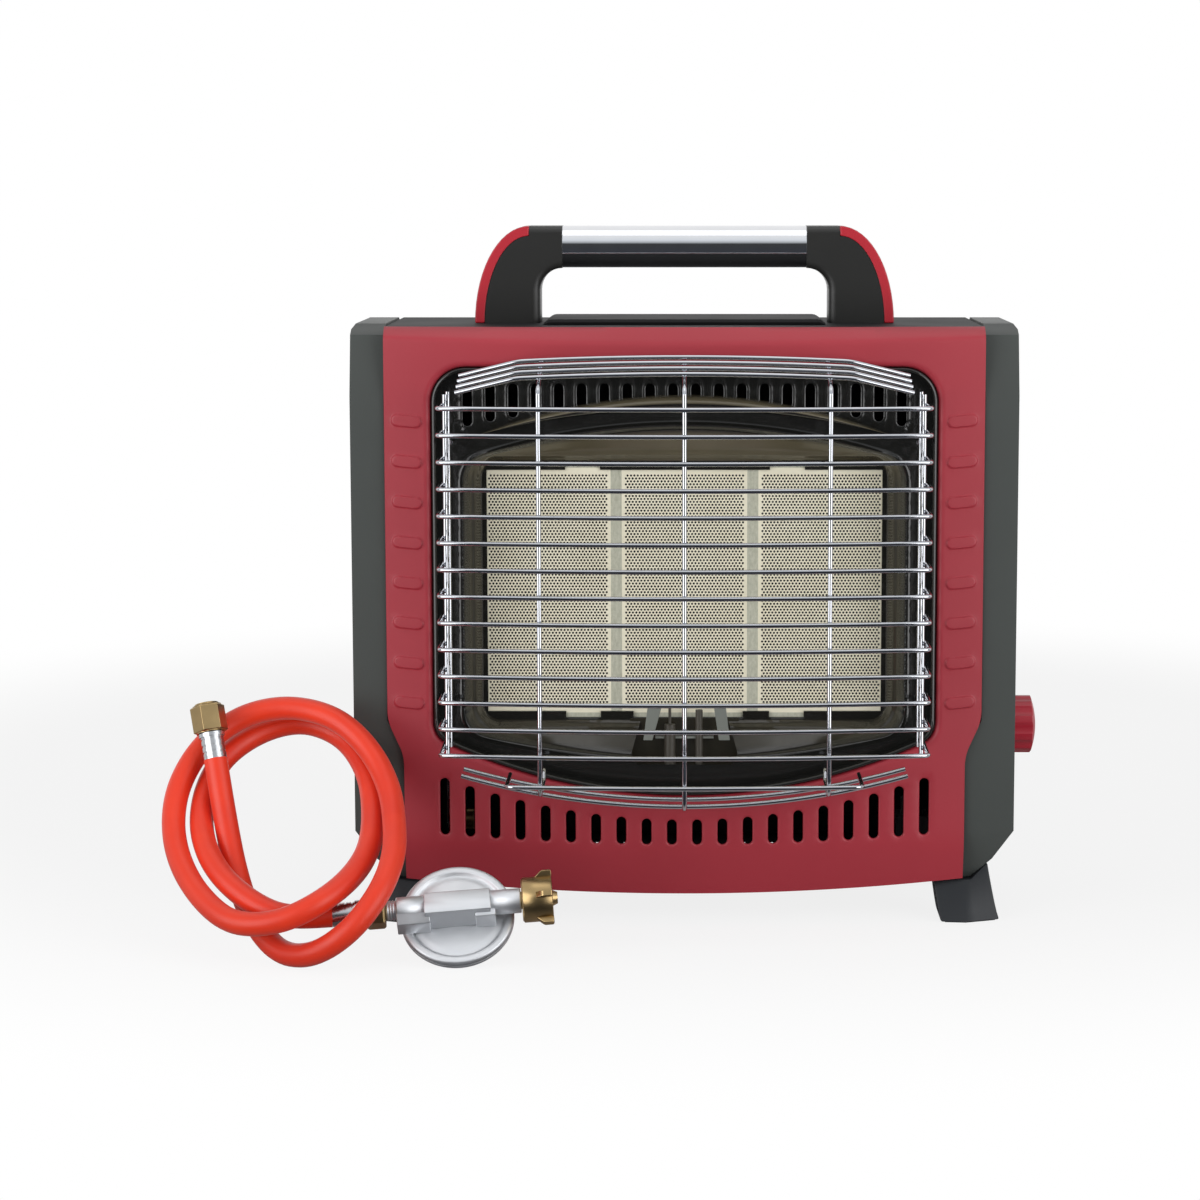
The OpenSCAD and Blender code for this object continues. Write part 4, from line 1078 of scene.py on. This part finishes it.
def filled_like(line, n):
    """n points evenly spaced along a closed line."""
    lengths = [hypot(b[0] - a[0], b[1] - a[1]) for a, b in zip(line, line[1:] + line[:1])]
    total, out, i, gone = sum(lengths), [], 0, 0.0
    for k in range(n):
        want = total * k / n
        while gone + lengths[i] < want:
            gone += lengths[i]
            i += 1
        (ax, az), (bx, bz) = line[i], line[(i + 1) % len(line)]
        t = (want - gone) / lengths[i]
        out.append((ax + (bx - ax) * t, az + (bz - az) * t))
    return out


def hood():
    """The arched visor: a crescent-shaped rib whose material paints a pale olive reflection on its
    upper side.
    """
    verts, faces = [], []
    columns, rows = 90, 14
    for i in range(columns + 1):
        x = HOOD_X * (2 * i / columns - 1)
        share = (x / (HOOD_X + 0.5)) ** 2
        high, low = 288.5 - 22 * share, 280.4 - 13.8 * share
        reach = HOOD_REACH * (1 - share ** 4) ** 0.5
        for j in range(rows + 1):
            t = pi * j / rows
            z = (high + low) / 2 - (high - low) / 2 * cos(t)
            verts.append(at(x, PLATE_Y + 0.4 - reach * sin(t) ** 0.7, z))
    for i in range(columns):
        for j in range(rows):
            a = i * (rows + 1) + j
            faces.append((a, a + 1, a + rows + 2, a + rows + 1))
    # The back closes the rib against the plate.
    for i in range(columns):
        a, b = i * (rows + 1), (i + 1) * (rows + 1)
        faces.append((a, b, b + rows, a + rows))
    piece = mesh_object("reflector_hood_arched", verts, faces, 40)
    return finish_piece(piece, ["reflector_hood"], "hood_enamel")


def join(pieces, name):
    """One piece made of several meshes."""
    bm = bmesh.new()
    for piece in pieces:
        bm.from_mesh(piece.data)
        bpy.data.objects.remove(piece)
    return from_bmesh(name, bm, 50)


def box_mesh(name, low, high):
    corners = [at(x, y, z) for z in (low[2], high[2]) for y in (low[1], high[1])
               for x in (low[0], high[0])]
    faces = [(0, 2, 3, 1), (4, 5, 7, 6), (0, 1, 5, 4), (2, 6, 7, 3), (0, 4, 6, 2), (1, 3, 7, 5)]
    return mesh_object(name, corners, faces)


def prism(name, outline, start, end, place):
    """An outline of (v, w) pairs drawn out along u."""
    n = len(outline)
    verts = [place(u, v, w) for u in (start, end) for v, w in outline]
    faces = [tuple(range(n)), tuple(range(2 * n - 1, n - 1, -1))]
    faces += [(k, k + n, (k + 1) % n + n, (k + 1) % n) for k in range(n)]
    return mesh_object(name, verts, faces)


# The gap for the pilot is a pocket with a back of its own.
POCKET_X, POCKET_Y = PILOT_X + 6, 22.2
pocket = box_mesh("pocket", (-POCKET_X, POCKET_Y, PILOT_LOW - 3),
                  (POCKET_X, POCKET_Y + 1, FRAME_LOW + 1))
tray = box_mesh("tray", (-POCKET_X, PLATE_Y + 0.6, PILOT_LOW - 1.6),
                (POCKET_X, POCKET_Y, PILOT_LOW - 0.6))
finish_piece(join([reflector(), reflector_lip(), pocket, tray], "reflector_enamelled"),
             ["reflector"], "reflector_enamel")
hood()

# ---- Burner frame with its tabs, and the pilot's bracket ----

TABS = ((-65, -46), (46.5, 65.5))
LOW_TABS = (TABS[0], (-28, 32), TABS[1])
TAB_DEPTH = 3.4
OPEN_X, OPEN_HALF, BURNER_Z = 107.75, 66.5, 180
# Left edge and width of each strap of the bracket, at its foot and at its top
STRAPS = ((-22.5, 5, -19.9, 7.9), (18.8, 6, 15.8, 6.6))


def burner_frame():
    """The black frame round the plaques; notches in its lips leave the pale gasket in sight."""
    (x0, y0, z0), (x1, y1, z1) = node_box("burner_frame")
    outer = filled([(x1, z1), (x0, z1), (x0, z0), (x1, z0)], 4)
    top, low = BURNER_Z + OPEN_HALF, BURNER_Z - OPEN_HALF
    hole = [(OPEN_X, top)]
    for a, b in TABS[::-1]:
        hole += [(b, top), (b, top + TAB_DEPTH), (a, top + TAB_DEPTH), (a, top)]
    hole += [(-OPEN_X, top), (-OPEN_X, low)]
    for a, b in LOW_TABS:
        hole += [(a, low), (a, low - TAB_DEPTH), (b, low - TAB_DEPTH), (b, low)]
    hole.append((OPEN_X, low))
    hole = filled(hole, 2)
    near = Near([filled(hole, 0.5)])

    def depth(x, z):
        return y0 - 0.8 * bell(near(x, z) - 1.1, 0.9)

    guides = [filled([(OPEN_X + o, top + o), (-OPEN_X - o, top + o), (-OPEN_X - o, low - o),
                      (OPEN_X + o, low - o)], 2) for o in (4.4, 5.4)]
    guides = [[(x, z) for x, z in guide
               if near(x, z) > 0.7 and x0 + 1 < x < x1 - 1 and z0 + 1 < z < z1 - 1]
              for guide in guides]
    piece = sheet("burner_frame_notched", outer, [hole], guides, 2.6, depth, y1 - y0)
    return finish_piece(piece, ["burner_frame"], "black_enamel")


def pilot_bracket():
    """Two dull steel straps that lean towards the burner, on a small shelf."""
    (x0, y0, z0), (x1, y1, z1) = node_box("pilot_bracket")
    straps = [box_mesh("shelf", (x0 + 4, y0 + 6, z0), (x1 - 4, y1 - 2, z0 + 1.2))]
    for low_x, low_w, top_x, top_w in STRAPS:
        outline = ((low_x, z0), (low_x + low_w, z0), (top_x + top_w, z1), (top_x, z1))
        straps.append(prism("strap", outline, y0 + 0.5, y0 + 1.7, lambda y, x, z: at(x, y, z)))
    piece = join([bevelled(strap, 0.3) for strap in straps], "pilot_bracket_straps")
    return finish_piece(piece, ["pilot_bracket"], "pilot_steel")


burner_frame()
pilot_bracket()

# ---- Regulator and its nuts ----


def along_tube(u, v, w):
    """A place from the length along the regulator's tube and two distances across it."""
    return at(*on_regulator(u, v, w))


def through_disc(u, v, w):
    """A place from the depth through the regulator's disc and two distances across it."""
    return at(*on_regulator(v, u, w))


def turned(name, profile, place, n=64, turn=0.0, sharp=30):
    """A shape turned from (radius, length) pairs that start and end on the axis or form a ring."""
    verts = []
    for r, u in profile:
        for k in range(n):
            a = turn + 2 * pi * k / n
            verts.append(place(u, r * cos(a), r * sin(a)))
    return mesh_object(name, verts, ring_faces(len(profile), n, profile[0][0] > 0), sharp)


DISC = ((0, 8.8), (19.8, 8.9), (22.0, 9.3), (23.6, 9.9), (24.6, 9.9), (25.3, 8.6), (26.0, 8.2),
        (28.5, 8.25), (29.3, 8.8), (29.5, 9.5), (29.5, 11.2), (0, 11.2))
BARRELS = (
    ((0, -31), (6.0, -31), (6.5, -30.5), (6.5, -15), (0, -15)),
    ((0, 15), (6.4, 15), (6.4, 33), (6.1, 33.5), (0, 33.5)),
    ((0, -36.4), (4.6, -36.4), (5.1, -35.9), (5.1, -35.1), (4.7, -34.7), (5.1, -34.3),
     (5.1, -33.7), (4.7, -33.3), (5.1, -32.9), (5.1, -32.3), (4.7, -31.9), (5.0, -31.4),
     (5.0, -30.6), (0, -30.6)),
)
# Outline across the tube, and from where to where along it
CASTING_BLOCKS = (
    (((-7.5, -1.2), (-6.0, -7.0), (8.9, -7.4), (8.9, 7.3), (-2.6, 7.3), (-5.0, 5.9)), -16.5, 17.8),
    (((-0.5, -9.6), (8.9, -9.6), (8.9, 0), (-4.6, -4.4)), -31, -13.8),
    (((-2.4, -8.8), (8.9, -8.8), (8.9, -4), (-3.4, -5.4)), 9.5, 20),
)
SHELL = ((0, 33.9), (10.6, 33.9), (11.7, 34.9), (11.7, 49.2), (11.2, 49.9), (8.6, 49.9),
         (8.2, 49.4), (8.2, 42.5), (0, 42.5))
LUG = ((41, 11.4), (50, 11.4), (50, 14.2), (49.4, 14.9), (45.4, 14.9), (44.4, 14.5))
NUT_AF, NUT_L, NUT_BORE, NUT_RELIEF, NUT_FLOOR = 16, 15, 5.9, 6.6, 4
NUT_CORNER = NUT_AF / sqrt(3)
FREE_AXIS = (HOSE_END - HOSE_ROUTE[-2]).normalized()


def regulator_body():
    """The casting: disc, barrels, ribbed neck, ridge and plates."""
    pieces = [turned("disc", DISC, through_disc, 96)]
    pieces += [turned("barrel", barrel, along_tube) for barrel in BARRELS]
    pieces += [bevelled(prism("block", outline, start, end, along_tube), 0.5)
               for outline, start, end in CASTING_BLOCKS]
    return finish_piece(join(pieces, "regulator_casting"), ["regulator_body"])


def regulator_nut():
    """A hexagon nut with chamfered ends on the tail that the hose is crimped to."""
    tail = turned("tail", [(0, -REG_TAIL), (4.5, -REG_TAIL), (4.5, -46), (0, -46)], along_tube)
    chamfer = NUT_CORNER * 0.9
    profile = [(0, -46.5), (chamfer, -46.5), (NUT_CORNER, -45.5), (NUT_CORNER, -37.6),
               (chamfer, -36.6), (0, -36.6)]
    hexagon = bevelled(turned("hexagon", profile, along_tube, 6, radians(12), 20), 0.25)
    return finish_piece(join([tail, hexagon], "regulator_nut_hexagon"), ["regulator_nut"])


def cylinder_nut():
    """A round nut with five thin lugs for the hand, hollow at its open end."""
    pieces = [turned("shell", SHELL, along_tube, 72)]
    for i in range(5):
        c, s = cos(radians(-93 + 72 * i)), sin(radians(-93 + 72 * i))
        pieces.append(bevelled(prism(
            "lug", LUG, -1.6, 1.6,
            lambda v, u, w: along_tube(u, -(w * c - v * s), w * s + v * c)), 0.35))
    return finish_piece(join(pieces, "cylinder_nut_lugged"), ["cylinder_nut"])


def beyond_hose(u, v, w):
    """A place from the length beyond the hose's free end and two distances across it."""
    across = FREE_AXIS.cross(Vector((0, 1, 0))).normalized()
    return at(*(HOSE_END + FREE_AXIS * u + across * v + FREE_AXIS.cross(across) * w))


def free_nut():
    """The hexagon nut on the hose's free end, chamfered at both ends and threaded inside."""
    start = FERRULE_L + 0.3
    end, floor_u = start + NUT_L, start + NUT_FLOOR
    # The hexagon is a ring; its open inner side lies inside the threaded ring's wall.
    profile = [(7.7, start), (NUT_CORNER, start + 0.9), (NUT_CORNER, end - 0.9), (7.7, end),
               (7.0, end)]
    hexagon = bevelled(turned("hexagon", profile, beyond_hose, 6, radians(18), 20), 0.25)
    thread = [(NUT_BORE + 0.45 * (k % 2), floor_u + NUT_RELIEF + 0.6 * k) for k in range(10)]
    inner = ([(3.6, start), (7.72, start + 0.02), (7.72, end - 0.02), (NUT_BORE + 0.5, end - 0.02)]
             + thread[::-1]
             + [(NUT_RELIEF, floor_u + 4), (NUT_RELIEF, floor_u), (3.6, floor_u)])
    threads = turned("threads", inner, beyond_hose, 48)
    return finish_piece(join([hexagon, threads], "free_nut_hexagon"), ["free_nut"])


regulator_body()
regulator_nut()
cylinder_nut()
free_nut()

# ---- Feet ----

FOOT_BASE_Y = 16
REAR_FOOT_Y = 105
REAR_FOOT_IN = 149.5
# Corners on the floor and at the top, from the inner front one round to the inner back one
FOOT_LOW = ((140.3, -16, 0.6), (153.6, -17.5, 0.6), (159.5, -15.2, 0.6), (172.8, -10, 0.6),
            (169.5, 14, 0.6), (158, 14, 0.6), (140.3, 14, 0.6))
FOOT_HIGH = ((136.6, -5.5, 22.6), (152.6, -8, 22.6), (157, -7.2, 22.7), (166.3, -5.5, 31.4),
             (165, 12, 30.2), (157, 14, 22.7), (136.6, 14, 22.6))


def foot_place(side, front, x, y, z, inset=0):
    """A foot's point; a rear foot mirrors a front one and is cut short on its inner side."""
    if front:
        return at(side * x, FOOT_BASE_Y + y, z)
    return at(side * max(x, REAR_FOOT_IN + inset), REAR_FOOT_Y - y, z)


def foot(node, side, front):
    """A splayed leg with a ridge down its front."""
    verts = []
    levels, n = 8, len(FOOT_LOW)
    for i in range(levels + 1):
        t = i / levels
        for low, high in zip(FOOT_LOW, FOOT_HIGH):
            x, y = (a + (b - a) * t ** 0.8 for a, b in zip(low[:2], high[:2]))
            verts.append(foot_place(side, front, x, y, low[2] + (high[2] - low[2]) * t))
    top = levels * n
    faces = ring_faces(levels + 1, n) + [
        tuple(range(n - 1, -1, -1)),
        (top, top + 1, top + 2, top + 5, top + 6), (top + 2, top + 3, top + 4, top + 5)]
    piece = bevelled(mesh_object(node + "_splayed", verts, faces, 25), 0.9)
    return finish_piece(piece, [node])


def foot_pads():
    """A thin rubber pad let into the bottom of each foot."""
    z0 = node_box("foot_pads")[0][2]
    middle = [sum(c[i] for c in FOOT_LOW) / len(FOOT_LOW) for i in (0, 1)]
    outline = [tuple(m + (v - m) * 0.86 for m, v in zip(middle, corner)) for corner in FOOT_LOW]
    pads = [bevelled(prism("pad", outline, z0, z0 + 0.9,
                           lambda z, x, y: foot_place(side, front, x, y, z, 1.5)), 0.2)
            for side in (-1, 1) for front in (True, False)]
    return finish_piece(join(pads, "foot_pads_set_in"), ["foot_pads"])


foot_pads()
for end, front in (("front", True), ("rear", False)):
    for hand, side in (("left", -1), ("right", 1)):
        foot(end + "_" + hand + "_foot", side, front)

# ---- CAD shapes with rounded edges ----

for name, width in (
    ("left_end_cap", 0.9), ("right_end_cap", 0.9), ("top_plate", 1.8),
    ("handle_trim_left", 0.9), ("handle_trim_right", 0.9), ("rear_cover", 0.5),
    ("control_knob", 0.8), ("regulator_cover", 0.7),
):
    refined(name, width)

ARM_ROUND = 4
ARM_END_X = 67


def handle_arm(side):
    """An arm of the handle, rounded all along but for the edges that the red trim lies against."""
    node, trim = "handle_arm_" + side, frame["nodes"]["handle_trim_" + side]
    bm = bmesh.new()
    bm.from_mesh(trim.data)
    long_edges = [e for e in bm.edges if e.calc_length() > 2 * MM]
    bmesh.ops.subdivide_edges(bm, edges=long_edges, cuts=12)
    tree = KDTree(len(bm.verts))
    for i, v in enumerate(bm.verts):
        tree.insert(trim.matrix_world @ v.co, i)
    tree.balance()
    bm.free()
    source = frame["nodes"][node]
    bm = flat_faced(source)
    edges = []
    for e in bm.edges:
        if len(e.link_faces) != 2 or e.calc_face_angle() < HARD_EDGE:
            continue
        ends = [source.matrix_world @ v.co for v in e.verts]
        at_foot = max(p.z for p in ends) < (BODY_TOP + 1) * MM
        at_grip = max(abs(p.x - MIDDLE_X) for p in ends) < (ARM_END_X + 0.5) * MM
        by_trim = max(tree.find(p)[2] for p in ends) < 2.5 * MM
        if not (at_foot or at_grip or by_trim):
            edges.append(e)
    bmesh.ops.bevel(bm, geom=edges, offset=ARM_ROUND * MM, segments=5, profile=0.5,
                    affect="EDGES", clamp_overlap=False)
    piece = from_bmesh(node + "_finished", bm, 32)
    piece.matrix_world = source.matrix_world
    return finish_piece(weighted(piece), [node])


for name in ("left", "right"):
    handle_arm(name)

# Nodes that no piece stands for keep their CAD shape; the pilot's tips get a dark finish as painted
# shade.
PILOT_PAINTED_SHADE = ("thermocouple", "spark_electrode")
replaced = {n for o in bpy.data.objects for n in o.get("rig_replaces", [])}
for name, piece in frame["nodes"].items():
    if name not in replaced:
        # Painted shade: these pilot parts take the dark electrode finish.
        slot = "electrode_ceramic" if name in PILOT_PAINTED_SHADE else NODE_SLOT[name]
        piece.data.materials.clear()
        piece.data.materials.append(MATERIALS[slot])

# ---- Studio ----
FLOOR_R = 0.86
FLOOR_BACK = 0.42
LIT_AT = Vector((0, 0, 0.2))


def floor():
    """White paper that takes the object's shadow and fades into the white background."""
    n = 96
    angles = [2 * pi * k / n for k in range(n)]
    mesh = bpy.data.meshes.new("floor")
    mesh.from_pydata([(FLOOR_R * cos(a), FLOOR_R * sin(a), 0) for a in angles], [],
                     [tuple(range(n))])
    piece = link_object("floor", mesh)
    piece.location = (0, FLOOR_BACK, 0)
    m = Nodes("floor_paper")
    path = m.new("ShaderNodeLightPath").outputs
    paper = m.mix(m.noise(6, 2), (0.78, 0.78, 0.78, 1), (0.82, 0.82, 0.82, 1))
    # What the floor throws back onto the object is kept low, so that its lower parts stay dark.
    lit = m.mix(path["Is Diffuse Ray"], paper, (0.4, 0.4, 0.4, 1))
    # A dark cloth before the object, seen only by bright metal, draws the dark line along wires.
    cloth = m.math("MULTIPLY", m.mapped(m.axis("Y"), -0.5, -0.6), path["Is Glossy Ray"])
    m.finish(m.mix(cloth, lit, (0.03, 0.035, 0.05, 1)), 0.9, Specular_IOR_Level=0.1)
    glow = m.new("ShaderNodeEmission")
    glow.inputs["Color"].default_value = WHITE
    distance = m.new("ShaderNodeVectorMath", operation="LENGTH")
    m.link(m.coords, distance.inputs[0])
    faded = m.math("MULTIPLY", path["Is Camera Ray"],
                   m.mapped(distance.outputs["Value"], 0.45, 0.83, 0.84, 1.0))
    blend = m.new("ShaderNodeMixShader")
    for source, socket in zip((faded, m.shader.outputs["BSDF"], glow.outputs["Emission"]),
                              blend.inputs):
        m.link(source, socket)
    m.link(blend.outputs["Shader"], m.tree.nodes["Material Output"].inputs["Surface"])
    piece.data.materials.append(m.material)


def area_light(name, place, size, size_y, power):
    """A soft box that faces the heater."""
    light = bpy.data.lights.new(name, "AREA")
    light.shape = "RECTANGLE"
    light.size, light.size_y = size, size_y
    light.energy = power
    lamp = link_object(name, light)
    lamp.location = place
    lamp.rotation_euler = (LIT_AT - Vector(place)).to_track_quat("-Z", "Y").to_euler()


def world():
    """White behind the object and soft light all round; metal mirrors a darker camera side."""
    scene_world = bpy.data.worlds.new("studio")
    bpy.context.scene.world = scene_world
    scene_world.use_nodes = True
    w = Tree(scene_world.node_tree, "Generated")
    path = w.new("ShaderNodeLightPath").outputs
    # Height in the sky, 0 at the nadir and 1 at the zenith, sets how bright the room is.
    height = w.mapped(w.axis("Z"), -1.0, 1.0, kind="LINEAR")
    greys = [(place, (0.92 * v, 0.96 * v, v, 1))
             for place, v in ((0.64, 0.05), (0.7, 0.5), (0.8, 0.9))]
    room = w.ramp(height, [(0, (0.04, 0.045, 0.06, 1))] + greys + [(1, WHITE)])
    # The room is lighter to either side of the camera.
    side = w.mapped(w.math("ABSOLUTE", w.axis("X")), 0.4, 0.65)
    sides = w.mix(side, room, (0.55, 0.56, 0.58, 1), "LIGHTEN")
    # Behind the object stands the white backdrop.
    mirrored = w.mix(w.mapped(w.axis("Y"), 0.05, 0.45), sides, WHITE)
    fill = w.mapped(w.axis("Y"), -1.0, 0.3, 0.55, 0.2, "LINEAR")
    shown = w.mix(path["Is Glossy Ray"], fill, mirrored)
    w.link(w.mix(path["Is Camera Ray"], shown, WHITE), w.tree.nodes["Background"].inputs["Color"])



floor()
world()
area_light("left_box", (-1.5, -1.3, 0.4), 1.6, 1.7, 23)
area_light("right_box", (1.5, -1.3, 0.4), 1.6, 1.7, 23)
area_light("top_box", (0, -0.15, 1.7), 1.3, 0.8, 2.5)

bpy.context.scene.view_settings.view_transform = "Standard"
